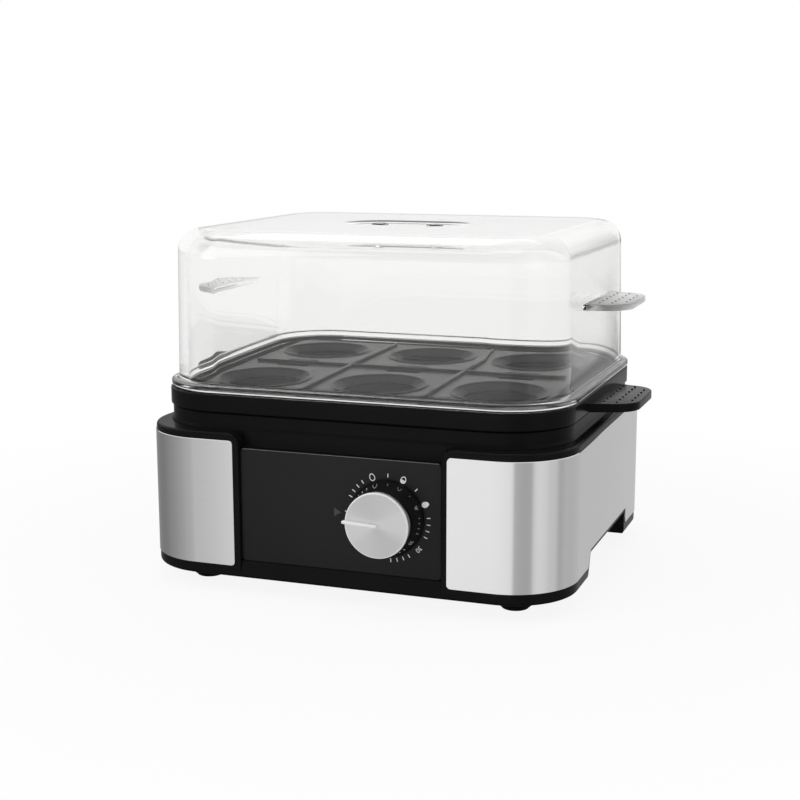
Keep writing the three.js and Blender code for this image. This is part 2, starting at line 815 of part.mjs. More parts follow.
function footPlaces() {
  const x = bodyPlan.x - foot.insetX;
  const y = bodyPlan.y - foot.insetY;
  return { front_left: [-x, -y], front_right: [x, -y], back_left: [-x, y], back_right: [x, y] };
}

function buildFoot() {
  const under = coverBottom - seatGap;
  const over = coverTop + seatGap;
  return turned(
    [
      [0, 0],
      [foot.tipRadius, 0],
      [(foot.tipRadius + foot.radius) / 2, foot.height * foot.domeShare],
      [foot.radius, foot.height * foot.shoulderShare],
      [foot.radius, under],
      [foot.stemRadius, under],
      [foot.stemRadius, over],
      [foot.bulbRadius, over],
      [foot.stemRadius, over + foot.bulbHeight],
      [0, over + foot.bulbHeight],
    ],
    'z',
    turnSteps,
  );
}

// Clear of the housing's middle walls and finger pockets
function coverNotches() {
  const padX = openingHalf + body.wall + slideGap;
  const padY = -frontWallInside - slideGap;
  const gripX = bodyPlan.x - grip.depth - grip.wall - slideGap;
  const gripY = grip.length / 2 + grip.lean + grip.wall + slideGap;
  const farX = bodyPlan.x + cutOverrun;
  return sides.flatMap((side) => [
    box([-padX, side * padY, 0], [padX, side * beyondShell, ledgeTop]),
    box([side * gripX, -gripY, 0], [side * farX, gripY, ledgeTop]),
  ]);
}

function coverVents() {
  const half = cover.ventWidth / 2;
  const outline = roundedShape(-cover.ventLength / 2, -half, cover.ventLength / 2, half, half);
  const vent = prism(outline, 'z', coverBottom - cutOverrun, coverTop + cutOverrun, smallCurveSteps);
  const middle = (cover.ventCount - 1) / 2;
  return Array.from({ length: cover.ventCount }, (_, i) =>
    vent.translate([0, (i - middle) * cover.ventPitch, 0]),
  );
}

function buildCover() {
  const hole = (radius) =>
    rod(radius, coverBottom - cutOverrun, coverTop + cutOverrun, 'z', smallTurnSteps);
  const stemHole = hole(foot.stemRadius + seatGap);
  const screwHole = hole(coverScrew.shankRadius + seatGap);
  return cut(block(grow(cavityPlan, -slideGap), coverBottom, coverTop), [
    ...Object.values(footPlaces()).map(([x, y]) => stemHole.translate([x, y, 0])),
    ...coverScrewPlaces().map(([x, y]) => screwHole.translate([x, y, 0])),
    ...coverNotches(),
    ...coverVents(),
  ]);
}

function buildCoverScrew() {
  const { headRadius, headHeight, shankRadius, shankLength, headTopShare } = coverScrew;
  const under = coverBottom - seatGap;
  return turned(
    [
      [0, under - headHeight],
      [headRadius * headTopShare, under - headHeight],
      [headRadius, under - headHeight / 2],
      [headRadius, under],
      [shankRadius, under],
      [shankRadius, under + shankLength],
      [0, under + shankLength],
    ],
    'z',
    smallTurnSteps,
  );
}

// Bowl and what hangs under it

function bowlFloorPlan() {
  return grow(seatInner, -slideGap - bowl.lean);
}

function buildBowl() {
  const rimPlanOuter = grow(collarInner, -slideGap);
  const throat = grow(seatInner, -slideGap);
  const floorPlan = bowlFloorPlan();
  const fillet = Math.min(bowl.fillet, bowl.depth / 2);
  const bend = (plan, bottom, radius) => roundUnder(plan, bottom, radius, -radius, bowlSteps);
  const outside = bend(floorPlan, bowlUnderside, fillet + bowl.thickness);
  const inside = bend(grow(floorPlan, -bowl.thickness), bowlUnderside + bowl.thickness, fillet);
  return ringSkin([
    ...outside,
    { plan: throat, z: bowlRimBottom },
    { plan: rimPlanOuter, z: bowlRimBottom },
    { plan: rimPlanOuter, z: bowlRimTop },
    { plan: grow(throat, -bowl.thickness), z: bowlRimTop },
    ...inside.reverse(),
  ]);
}

function buildGasket() {
  const outer = grow(collarInner, -slideGap);
  const inner = grow(outer, -Math.min(gasket.width, collar.seatWidth - slideGap));
  const bottom = seatTop + seatGap;
  const top = bottom + gasket.thickness;
  return ringSkin(
    [
      { plan: inner, z: bottom },
      { plan: outer, z: bottom },
      { plan: outer, z: top },
      { plan: inner, z: top },
    ],
    true,
  );
}

const heaterRadius = bowlFloorPlan().y - heater.edgeMargin;
const heaterZ = bowlUnderside - seatGap - heater.tubeRadius;
const clampTop = heaterZ - heater.tubeRadius - seatGap;

function buildHeater() {
  const halfGap = heater.gap / 2 / heaterRadius;
  const from = Math.PI / 2 + halfGap;
  const to = Math.PI * 2.5 - halfGap;
  const at = (angle, z) => [heaterRadius * Math.cos(angle), heaterRadius * Math.sin(angle), z];
  const turn = heater.bend / heaterRadius;
  const bendZ = heaterZ - heater.tubeRadius * 2;
  const loop = Array.from({ length: heaterPoints + 1 }, (_, i) =>
    at(from + turn + ((to - from - 2 * turn) * i) / heaterPoints, heaterZ),
  );
  const points = [
    at(from, bendZ - heater.pinDrop),
    at(from, bendZ - heater.pinDrop / 2),
    at(from, bendZ),
    ...loop,
    at(to, bendZ),
    at(to, bendZ - heater.pinDrop / 2),
    at(to, bendZ - heater.pinDrop),
  ];
  return tube(points, heater.tubeRadius, heaterSteps, heaterFacets);
}

function buildStud() {
  const top = bowlUnderside - seatGap;
  return turned(
    [
      [0, top - stud.length],
      [stud.radius, top - stud.length],
      [stud.radius, top - stud.radius],
      [stud.radius * 2, top - stud.radius / 2],
      [stud.radius * 2, top],
      [0, top],
    ],
    'z',
    smallTurnSteps,
  );
}

function buildClamp() {
  const half = heaterRadius + clamp.overhang;
  const width = clamp.width / 2;
  const bottom = clampTop - clamp.thickness;
  const plate = prism(roundedShape(-half, -width, half, width, width), 'z', bottom, clampTop, curveSteps);
  const hole = stud.radius + seatGap;
  return plate.subtract(rod(hole, bottom - cutOverrun, clampTop + cutOverrun, 'z', smallTurnSteps));
}

function buildNut() {
  const top = clampTop - clamp.thickness - seatGap;
  return hexagon(nut.radius, top - nut.height, top, 'z').subtract(
    rod(stud.radius + seatGap, top - nut.height - cutOverrun, top + cutOverrun, 'z', smallTurnSteps),
  );
}

const insideRing = heaterRadius - heater.tubeRadius;
const sensorOffset = (insideRing + clamp.width / 2) / 2;
const sensorRoom = (insideRing - clamp.width / 2) / 2 - slideGap;

function buildThermostat() {
  const top = bowlUnderside - seatGap;
  const wide = Math.min(thermostat.collarRadius, sensorRoom);
  const narrow = Math.min(thermostat.radius, wide - slideGap);
  return turned([
    [0, top - thermostat.height],
    [narrow, top - thermostat.height],
    [narrow, top - thermostat.collarHeight],
    [wide, top - thermostat.collarHeight],
    [wide, top],
    [0, top],
  ]).translate([0, sensorOffset, 0]);
}

function buildFuse() {
  const half = Math.min(fuse.length / 2, insideRing / 2);
  const tip = fuse.radius / 2;
  const profile = [
    [0, -half],
    [tip, -half],
    [fuse.radius, -half + tip],
    [fuse.radius, half - tip],
    [tip, half],
    [0, half],
  ];
  const place = [0, -sensorOffset, bowlUnderside - seatGap - fuse.radius];
  return turned(profile, 'x', smallTurnSteps).translate(place);
}

// Timer behind the panel

const timerFront = frontWallInside + seatGap;
const timerBack = timerFront + timer.depth;
const timerHalfHeight = bowlUnderside - timer.headroom - knobZ;

function buildTimerCase() {
  const layer = (margin, from, to) => {
    const x = timer.width / 2 + margin;
    const z = timerHalfHeight + margin;
    return prism(roundedShape(-x, -z, x, z, timer.corner), 'y', from, to, edgeSteps);
  };
  const seamY = (timerFront + timerBack) / 2;
  const postEnd = bellSeat() + bell.thickness + bellNut.height + seatGap * 2;
  const can = unite([
    layer(0, timerFront, timerBack),
    layer(timer.seamDepth, seamY - timer.seam, seamY + timer.seam),
    rod(timer.bushRadius, panelBack, timerFront + cutOverrun, 'y'),
    rod(bell.postRadius, timerBack - cutOverrun, postEnd, 'y', smallTurnSteps),
  ]);
  const bore = rod(shaft.radius + seatGap, facePlane, timerFront + shaft.reach + seatGap, 'y');
  const screwEnd = timerFront + timerScrew.shankLength;
  const screwBore = rod(timerScrew.shankRadius + seatGap, facePlane, screwEnd, 'y', smallTurnSteps);
  return cut(can, [
    bore,
    ...sides.map((side) => screwBore.translate([(side * timerScrew.spacing) / 2, 0, 0])),
  ]);
}

function bellSeat() {
  return timerBack + bell.standoff + bell.height - bell.thickness;
}

function buildBell() {
  const open = timerBack + bell.standoff;
  const top = open + bell.height;
  const hole = bell.postRadius + seatGap;
  const crown = bell.radius * bell.crownShare;
  const lip = open + bell.height * bell.mouthShare;
  const inner = bell.radius - bell.thickness;
  return turned(
    [
      [hole, top - bell.thickness],
      [crown, top - bell.thickness],
      [inner, lip],
      [inner, open],
      [bell.radius, open],
      [bell.radius, lip],
      [crown + bell.thickness / 2, top],
      [hole, top],
      [hole, top - bell.thickness],
    ],
    'y',
  );
}

function buildBellNut() {
  const from = bellSeat() + bell.thickness + seatGap;
  const to = from + bellNut.height;
  const hole = rod(bell.postRadius + seatGap, from - cutOverrun, to + cutOverrun, 'y', smallTurnSteps);
  return hexagon(bellNut.radius, from, to, 'y').subtract(hole);
}

function buildTimerScrew() {
  const { headRadius, headHeight, shankRadius, shankLength } = timerScrew;
  const seat = panelPocket - seatGap;
  return turned(
    [
      [0, seat - headHeight],
      [headRadius, seat - headHeight],
      [headRadius, seat],
      [shankRadius, seat],
      [shankRadius, seat + shankLength],
      [0, seat + shankLength],
    ],
    'y',
    smallTurnSteps,
  );
}

// Knob, in its own frame: the axis is Y and the panel's face is at zero

const knobFront = -slideGap - knob.length;

function buildKnobSkirt() {
  const back = -slideGap;
  const inside = knobFront + knob.wall;
  const boreEnd = inside + seatGap;
  const skirt = turned([
    [0, knobFront],
    [knob.faceRadius - knob.capBevel, knobFront],
    [knob.faceRadius, knobFront + knob.capBevel],
    [knob.skirtRadius, back - knob.baseHeight],
    [knob.baseRadius, back - knob.baseHeight],
    [knob.baseRadius, back],
    [knob.baseRadius - knob.wall, back],
    [knob.faceRadius - knob.wall, inside],
    [knob.hubRadius, inside],
    [knob.hubRadius, back - seatGap],
    [shaft.radius + seatGap, back - seatGap],
    [shaft.radius + seatGap, boreEnd],
    [0, boreEnd],
  ], 'y', knobSteps);
  const land = shaft.radius - shaft.flat + seatGap;
  const flat = box(
    [-shaft.radius - seatGap * 2, boreEnd - seatGap, land],
    [shaft.radius + seatGap * 2, back - seatGap, shaft.radius + seatGap * 2],
  );
  return skirt.add(flat);
}

function buildShaft() {
  const front = knobFront + knob.wall + seatGap * 2;
  const back = timerFront - facePlane + shaft.reach;
  const round = rod(shaft.radius, front, back, 'y');
  const flat = box(
    [-shaft.radius * 2, front - cutOverrun, shaft.radius - shaft.flat],
    [shaft.radius * 2, -slideGap, shaft.radius * 2],
  );
  return round.subtract(flat);
}

function buildKnobCap() {
  const back = knobFront - seatGap;
  const front = back - knob.capThickness;
  const r = knob.faceRadius;
  const profile = [
    [0, front],
    [r - knob.capBevel, front],
    [r, front + knob.capBevel],
    [r, back],
    [0, back],
  ];
  const half = knob.pointerWidth / 2;
  const outline = roundedShape(-r - knob.pointerOverhang, -half, half, half, half);
  const root = front + knob.capThickness / 2;
  const ridge = prism(outline, 'y', front - knob.pointerHeight, root, edgeSteps);
  return turned(profile, 'y', knobSteps).add(ridge);
}

// Mains side: gland in the rear wall, terminal block on the cover and the leads inside

function buildGland() {
  const outer = gland.boreRadius + gland.wall;
  const flange = outer + gland.flange;
  const seat = -facePlane + seatGap;
  const end = seat + gland.flangeThickness;
  const inner = -frontWallInside - gland.flangeThickness * 2;
  const profile = [
    [gland.boreRadius, inner],
    [outer, inner],
    [outer, seat],
    [flange, seat],
    [flange, end],
    [gland.boreRadius, end],
    [gland.boreRadius, inner],
  ];
  return turned(profile, 'y').translate([gland.x, 0, coverTop + gland.rise]);
}

const terminalPlace = [terminal.x, -frontWallInside - terminal.backInset, coverTop + seatGap];
const wellOffset = terminal.length * terminal.pitchShare;

function buildTerminal() {
  const { length, width, height } = terminal;
  const bodyBlock = box([-length / 2, -width / 2, 0], [length / 2, width / 2, height]);
  const floor = height - terminal.wellDepth;
  const well = rod(terminal.wellRadius, floor, height + cutOverrun, 'z', smallTurnSteps);
  return cut(bodyBlock, wells.map((place) => well.translate([place * wellOffset, 0, 0])));
}

// Where the leads end, each with the way out of its terminal
function leadEnds() {
  const [x, y, z] = terminalPlace;
  const wellFloor = z + terminal.height - terminal.wellDepth + seatGap;
  const wellOut = [0, 0, wires.exit + terminal.wellDepth];
  const well = (offset) => ({ at: [x + offset, y, wellFloor], out: wellOut });
  const down = [0, 0, -wires.exit];
  const sideways = (side) => [side * wires.exit, 0, -wires.exit];
  const sensorFace = bowlUnderside - 2 * seatGap - thermostat.height - wires.radius;
  const fuseEnd = fuse.length / 2 + seatGap;
  const fuseZ = bowlUnderside - seatGap - fuse.radius;
  const pinFoot = heaterZ - heater.tubeRadius * 2 - heater.pinDrop - seatGap;
  const pinX = heater.gap / 2;
  const pinY = Math.sqrt(heaterRadius * heaterRadius - pinX * pinX);
  const timerX = timer.width / 2 - wires.timerInset;
  const timerZ = knobZ - timerHalfHeight + wires.timerInset;
  const timerEnd = (side) => ({
    at: [knob.axisX + side * timerX, timerBack + seatGap, timerZ],
    out: [0, wires.exit, 0],
  });
  return {
    wellLeft: well(-wellOffset),
    wellMiddle: well(0),
    wellRight: well(wellOffset),
    sensorLeft: { at: [-thermostat.radius / 2, sensorOffset, sensorFace], out: sideways(-1) },
    sensorRight: { at: [thermostat.radius / 2, sensorOffset, sensorFace], out: sideways(1) },
    fuseLeft: { at: [-fuseEnd, -sensorOffset, fuseZ], out: [-wires.exit, 0, -wires.radius] },
    fuseRight: { at: [fuseEnd, -sensorOffset, fuseZ], out: [wires.exit, 0, -wires.radius] },
    pinLeft: { at: [-pinX, pinY, pinFoot], out: down },
    pinRight: { at: [pinX, pinY, pinFoot], out: down },
    timerLeft: timerEnd(-1),
    timerRight: timerEnd(1),
    clamp: {
      at: [-heaterRadius + clamp.width / 2, 0, clampTop - clamp.thickness - seatGap],
      out: down,
    },
  };
}

function buildLead(start, end) {
  const leave = start.at.map((value, i) => value + start.out[i]);
  const arrive = end.at.map((value, i) => value + end.out[i]);
  const middle = leave.map((value, i) => (value + arrive[i]) / 2);
  middle[2] -= wires.sag;
  return tube([start.at, leave, middle, arrive, end.at], wires.radius, leadSteps, leadFacets);
}

// Assembly

const root = new THREE.Group();
const base = new THREE.Group();
const knobGroup = new THREE.Group();
const trayGroup = new THREE.Group();
const lidGroup = new THREE.Group();
root.add(base, knobGroup, trayGroup, lidGroup);

piece('body_shell', buildShell(), blackPlastic, base);
piece('control_panel', buildPanel(), panelPlastic, base);
const sheetInside = grow(bodyPlan, -steel.thickness);
piece('steel_cheek_left', cheekSkin(bodyPlan, sheetInside, 0, -1), brushedSteel, base);
piece('steel_cheek_right', cheekSkin(bodyPlan, sheetInside, 0, 1), brushedSteel, base);
piece('bottom_cover', buildCover(), blackPlastic, base);
for (const [place, [x, y]] of Object.entries(footPlaces())) {
  piece('foot_' + place, buildFoot(), blackRubber, base).position.set(x, y, 0);
}
coverScrewPlaces().forEach(([x, y], i) => {
  piece('cover_screw_' + (i + 1), buildCoverScrew(), zincSteel, base).position.set(x, y, 0);
});
piece('heating_bowl', buildBowl(), coatedAluminium, base);
piece('bowl_gasket', buildGasket(), silicone, base);
piece('heating_element', buildHeater(), heaterSteel, base);
piece('bowl_stud', buildStud(), zincSteel, base);
piece('heater_clamp', buildClamp(), zincSteel, base);
piece('clamp_nut', buildNut(), zincSteel, base);
piece('thermostat', buildThermostat(), creamPlastic, base);
piece('thermal_fuse', buildFuse(), creamPlastic, base);
piece('timer_case', buildTimerCase(), creamPlastic, base).position.set(knob.axisX, 0, knobZ);
piece('timer_bell', buildBell(), spunAluminium, base).position.set(knob.axisX, 0, knobZ);
piece('bell_nut', buildBellNut(), zincSteel, base).position.set(knob.axisX, 0, knobZ);
timerScrewPlaces().forEach((x, i) => {
  piece('timer_screw_' + (i + 1), buildTimerScrew(), zincSteel, base).position.set(x, 0, knobZ);
});
piece('cord_gland', buildGland(), blackRubber, base);
piece('terminal_block', buildTerminal(), creamPlastic, base).position.set(...terminalPlace);
const ends = leadEnds();
const leadRuns = {
  lead_live: [ends.wellRight, ends.sensorLeft],
  lead_fuse: [ends.sensorRight, ends.fuseRight],
  lead_element: [ends.fuseLeft, ends.pinLeft],
  lead_timer: [ends.pinRight, ends.timerRight],
  lead_neutral: [ends.timerLeft, ends.wellMiddle],
  lead_earth: [ends.wellLeft, ends.clamp],
};
for (const [name, [start, end]] of Object.entries(leadRuns)) {
  piece(name, buildLead(start, end), leadSleeve, base);
}

piece('knob_skirt', buildKnobSkirt(), blackPlastic, knobGroup);
piece('knob_cap', buildKnobCap(), spunAluminium, knobGroup);
piece('timer_shaft', buildShaft(), zincSteel, knobGroup);
knobGroup.position.set(knob.axisX, facePlane, knobZ);

piece('egg_tray', buildTray(), blackPlastic, trayGroup);
trayGroup.position.z = trayBottom;

piece('lid', buildLid(), clearPlastic, lidGroup);
lidGroup.position.z = lidSeat;

// The origin is on the floor, below the middle of the overall box: the pointer reaches out in front
const frontReach = facePlane + knobFront - seatGap - knob.capThickness - knob.pointerHeight;
root.position.y = -(frontReach + bodyPlan.y) / 2;

export default root;
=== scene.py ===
# Electric egg cooker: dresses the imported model, adds the studio and the camera
import math

import bmesh
import bpy
import numpy as np
from mathutils import Matrix, Vector


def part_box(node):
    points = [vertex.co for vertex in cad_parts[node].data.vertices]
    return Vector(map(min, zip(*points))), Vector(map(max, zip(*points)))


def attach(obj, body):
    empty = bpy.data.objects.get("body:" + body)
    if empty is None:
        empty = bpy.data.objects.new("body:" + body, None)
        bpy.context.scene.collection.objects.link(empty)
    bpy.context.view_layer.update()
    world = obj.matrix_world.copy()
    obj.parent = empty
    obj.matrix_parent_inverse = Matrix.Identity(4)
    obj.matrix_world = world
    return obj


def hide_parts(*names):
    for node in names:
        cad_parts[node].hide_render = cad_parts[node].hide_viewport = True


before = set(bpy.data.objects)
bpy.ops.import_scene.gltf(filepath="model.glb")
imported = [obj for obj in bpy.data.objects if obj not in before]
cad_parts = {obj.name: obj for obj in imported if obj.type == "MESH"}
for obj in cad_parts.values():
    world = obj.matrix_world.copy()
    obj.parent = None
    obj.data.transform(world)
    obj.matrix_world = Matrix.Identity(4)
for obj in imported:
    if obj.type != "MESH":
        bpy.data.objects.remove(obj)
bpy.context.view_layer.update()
scene = bpy.context.scene
millimetre = 0.001
past = 9  # how far a cutting form reaches beyond what it cuts, in millimetres


def middleOf(node):
    # centre of a node's box, in millimetres
    low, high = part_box(node)
    return [500 * (a + b) for a, b in zip(low, high)]


def lowOf(node):
    # least corner of a node's box
    return [1000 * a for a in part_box(node)[0]]


def highOf(node):
    # greatest corner of a node's box
    return [1000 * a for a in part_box(node)[1]]


middleY = middleOf("lid")[1]  # the housing's middle; the plans below are drawn about it
lidTabTop = highOf("lid")[2] - 27.8  # upper face of the lid's finger tabs
print("scene: frame loaded")


# Surfaces. A form is a grid of points with its quads and its end faces, in millimetres

def ringGrid(rings, cornerSteps=20, frontAdd=0.0):
    # a ring is half width, half depth, corner radius and height. Each point is a corner's
    # centre plus the radius turned through that corner's quarter. frontAdd widens each
    # ring's two front corners
    x, y, r, z = (np.asarray(rings, float)[:, k, None] for k in range(4))
    r = np.minimum(r, np.minimum(x, y))
    quarter = np.linspace(0, np.pi / 2, cornerSteps + 1)
    angle = (np.arange(4)[:, None] * np.pi / 2 + quarter).ravel()
    signX = np.repeat([1, -1, -1, 1], cornerSteps + 1)
    signY = np.repeat([1, 1, -1, -1], cornerSteps + 1)
    r = r + np.where(signY < 0, np.reshape(frontAdd, (-1, 1)), 0)
    return np.stack([signX * (x - r) + r * np.cos(angle),
                     signY * (y - r) + r * np.sin(angle), z + 0 * angle], -1)


def around(plan, profile):
    # rings round a plan: each profile point is a distance out from the plan and a height
    out, z = np.asarray(profile, float).T
    return np.stack([plan[0] + out, plan[1] + out, plan[2] + out, z], -1)


def turnedGrid(profile, steps=96):
    # a profile of radius and height, turned round the Z axis
    radius, along = (np.asarray(profile, float)[:, k, None] for k in range(2))
    angle = np.arange(steps) * 2 * np.pi / steps
    return np.stack([radius * np.cos(angle), radius * np.sin(angle), along + 0 * angle], -1)


def arc(centreU, centreV, radius, start, end, steps=6):
    # points on a circle, angles in degrees
    angle = np.radians(np.linspace(start, end, steps + 1))
    return [[centreU + radius * c, centreV + radius * s] for c, s in zip(np.cos(angle), np.sin(angle))]


def roundedLoop(left, bottom, right, top, r, steps=6):
    # rectangle with equal round corners, anticlockwise
    return np.array(arc(right - r, bottom + r, r, -90, 0, steps) + arc(right - r, top - r, r, 0, 90, steps)
                    + arc(left + r, top - r, r, 90, 180, steps) + arc(left + r, bottom + r, r, 180, 270, steps))


def between(start, end, first):
    # six points on a straight line: from a first share of the way to its end
    share = np.linspace(first, 1, 6)[:, None]
    return (np.array([start]) * (1 - share) + np.array([end]) * share).tolist()


def insetLoop(loop, distance):
    # every point moves inwards along the mitre of its two edges
    edge = np.roll(loop, -1, 0) - loop
    edge = edge / np.maximum(np.linalg.norm(edge, axis=1, keepdims=True), 1e-9)
    out = np.stack([edge[:, 1], -edge[:, 0]], -1)
    before = np.roll(out, 1, 0)
    mitre = (out + before) / (1 + (out * before).sum(1, keepdims=True))
    return loop - mitre * distance


def prismGrid(loop, low, high, rounding=0.0, steps=3):
    # the loop carried from low to high, its ends drawn in on a quarter circle
    if rounding == 0:
        rows = [(0, low), (0, high)]
    else:
        angle = np.linspace(0, np.pi / 2, steps + 1)
        rows = [(rounding * (1 - math.sin(a)), low + rounding * (1 - math.cos(a))) for a in angle]
        rows += [(rounding * (1 - math.cos(a)), high - rounding * (1 - math.sin(a))) for a in angle]
    return np.stack([np.column_stack([insetLoop(loop, inset), np.full(len(loop), z)]) for inset, z in rows])


def outFront(points):
    # turns the Z axis so that it points out of the control face
    return np.stack([points[..., 0], -points[..., 2], points[..., 1]], -1)


def alongWidth(points):
    # a shape drawn in Y and Z, carried along X
    return np.roll(points, 1, -1)


def signedVolume(points, quads, caps):
    # sum of the cones from the origin to each triangle of each face
    a, b, c, d = (points[quads[:, k]] for k in range(4))
    total = (a * np.cross(b, c)).sum() + (a * np.cross(c, d)).sum()
    for cap in caps:
        ring = points[cap]
        total += (ring[0] * np.cross(ring[1:-1], ring[2:])).sum()
    return total


def form(grid, closeRows=False, at=(0, 0, 0)):
    # closes a grid round its columns and over its ends, and turns it outside out
    rows, cols = grid.shape[:2]
    row = np.arange(rows if closeRows else rows - 1)[:, None]
    col = np.arange(cols)[None, :]
    nextRow, nextCol = (row + 1) % rows, (col + 1) % cols
    quads = np.stack(np.broadcast_arrays(row * cols + col, row * cols + nextCol,
                                         nextRow * cols + nextCol, nextRow * cols + col), -1).reshape(-1, 4)
    caps = [] if closeRows else [np.arange(cols)[::-1], (rows - 1) * cols + np.arange(cols)]
    points = grid.reshape(-1, 3)
    if signedVolume(points - points.mean(0), quads, caps) < 0:
        quads, caps = quads[:, ::-1], [cap[::-1] for cap in caps]
    return points + np.asarray(at, float), quads, caps


def mirrored(shape):
    # the same form on the other side of the middle plane
    points, quads, caps = shape
    return points * [-1, 1, 1], quads[:, ::-1], [cap[::-1] for cap in caps]


def bothSides(forms):
    # the forms and their mirror images
    return forms + [mirrored(shape) for shape in forms]


def addObject(name, data):
    # an object for a mesh, lamp, camera or text, in the scene
    thing = bpy.data.objects.new(name, data)
    scene.collection.objects.link(thing)
    return thing


def meshData(name, forms):
    # one mesh of several forms: their points in a row, each form's faces counted on from the last
    points, faces, start = [], [], 0
    for formPoints, quads, caps in forms:
        points.append(formPoints)
        faces += (quads + start).tolist() + [(cap + start).tolist() for cap in caps]
        start += len(formPoints)
    mesh = bpy.data.meshes.new(name)
    mesh.from_pydata((np.concatenate(points) * millimetre).tolist(), [], faces)
    mesh.update()
    return mesh


def meshOf(name, forms):
    # a new piece, made of forms
    return addObject(name, meshData(name, forms))


def addMesh(thing, extra):
    # adds another mesh to a piece's own
    made = bmesh.new()
    made.from_mesh(thing.data)
    made.from_mesh(extra)
    made.to_mesh(thing.data)
    made.free()


def combine(thing, forms, operation):
    # joins forms to a piece or cuts them out of it
    tool = meshOf("tool", forms)
    step = thing.modifiers.new("combine", "BOOLEAN")
    step.operation, step.solver, step.object = operation, "EXACT", tool
    result = bpy.data.meshes.new_from_object(thing.evaluated_get(bpy.context.evaluated_depsgraph_get()))
    thing.modifiers.clear()
    thing.data = result
    result.name = thing.name
    bpy.data.objects.remove(tool)


def toMiddle(thing):
    # a plan drawn about the housing's middle goes to its place
    thing.data.transform(Matrix.Translation((0, middleY * millimetre, 0)))


def settle(thing, finish, slotName, body, *nodes, sharp=32):
    # smooth shading with its sharp edges, the finish, the body that carries it, and what it replaces
    thing.data.shade_smooth()
    thing.data.set_sharp_from_angle(angle=math.radians(sharp))
    thing.data.materials.clear()
    thing.data.materials.append(finish)
    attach(thing, body)
    if nodes:
        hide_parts(*nodes)


def faceVectors(thing, field):
    # a vector for each face, such as its centre or its normal
    values = np.zeros(3 * len(thing.data.polygons))
    thing.data.polygons.foreach_get(field, values)
    return values.reshape(-1, 3)


def secondFinish(thing, finish, chosen):
    # another finish on the chosen faces
    thing.data.materials.append(finish)
    thing.data.polygons.foreach_set("material_index", chosen.astype(int))


def cornerPoints(thing):
    # the point that each corner of each face stands on
    corner = np.zeros(len(thing.data.loops), int)
    thing.data.loops.foreach_get("vertex_index", corner)
    return corner


# Finishes

def colour(text):
    # sRGB hex to linear
    value = np.array([int(text[k:k + 2], 16) for k in (1, 3, 5)]) / 255
    linear = np.where(value <= 0.04045, value / 12.92, ((value + 0.055) / 1.055) ** 2.4)
    return (*linear.tolist(), 1.0)


def addNode(tree, kind, inputs=None, **settings):
    # settings are the node's own fields. An input is a plain value, a socket to link, or a node,
    # which stands for its first output
    node = tree.nodes.new("ShaderNode" + kind)
    for field, value in settings.items():
        setattr(node, field, value)
    for key, value in (inputs or {}).items():
        value = value.outputs[0] if isinstance(value, bpy.types.Node) else value
        if isinstance(value, bpy.types.NodeSocket):
            tree.links.new(value, node.inputs[key])
        else:
            node.inputs[key].default_value = value
    return node


def startFinish(name):
    # a material with an empty node tree
    made = bpy.data.materials.new(name)
    made.use_nodes = True
    made.node_tree.nodes.clear()
    return made, made.node_tree


def endFinish(tree, shader):
    # the shader is what the surface shows
    addNode(tree, "OutputMaterial", {"Surface": shader})


def objectPoint(tree):
    # place on the object, in metres
    return addNode(tree, "TexCoord").outputs["Object"]


def mouldedPlastic(name, dark, light, roughness, grain, depth, specular=0.5, lacquer=0.0):
    # moulded thermoplastic: an even colour that drifts a little, with the fine grain of a
    # spark-eroded mould; grain is in millimetres and drawn coarse enough to show. A lacquer
    # over it doubles the mirror image
    driftPatch = 35
    made, tree = startFinish(name)
    point = objectPoint(tree)
    drift = addNode(tree, "TexNoise", {"Vector": point, "Scale": 1000 / driftPatch, "Detail": 2.0})
    tint = addNode(tree, "Mix", {"Factor": drift, "A": colour(dark), "B": colour(light)}, data_type="RGBA")
    pits = addNode(tree, "TexNoise", {"Vector": point, "Scale": 1000 / grain, "Detail": 3.0})
    sheen = addNode(tree, "MapRange", {"Value": pits, "To Min": roughness - 0.04, "To Max": roughness + 0.06})
    bump = addNode(tree, "Bump", {"Height": pits, "Strength": 0.35, "Distance": depth * millimetre})
    endFinish(tree, addNode(tree, "BsdfPrincipled", {
        "Base Color": tint.outputs[2], "Roughness": sheen, "Normal": bump, "Specular IOR Level": specular,
        "IOR": 1.52, "Coat Weight": lacquer, "Coat Roughness": 0.03, "Coat IOR": 1.9}))
    return made


# colours, roughness and, in millimetres, where the tabs and their pips begin and end; the pips' grey is painted
# shade
clearLook = {"body": "#fbfbfa", "frosted": "#eeefee", "pip": "#5c5d5d", "shadow": "#f2f2f2",
             "roughness": (0.015, 0.045), "frostRoughness": 0.26, "hazePatch": 9,
             "tabStart": 81.05, "tabFade": 0.3, "tabBelow": (5, 4), "pipMiddle": 0.3, "pipReach": 0.26}


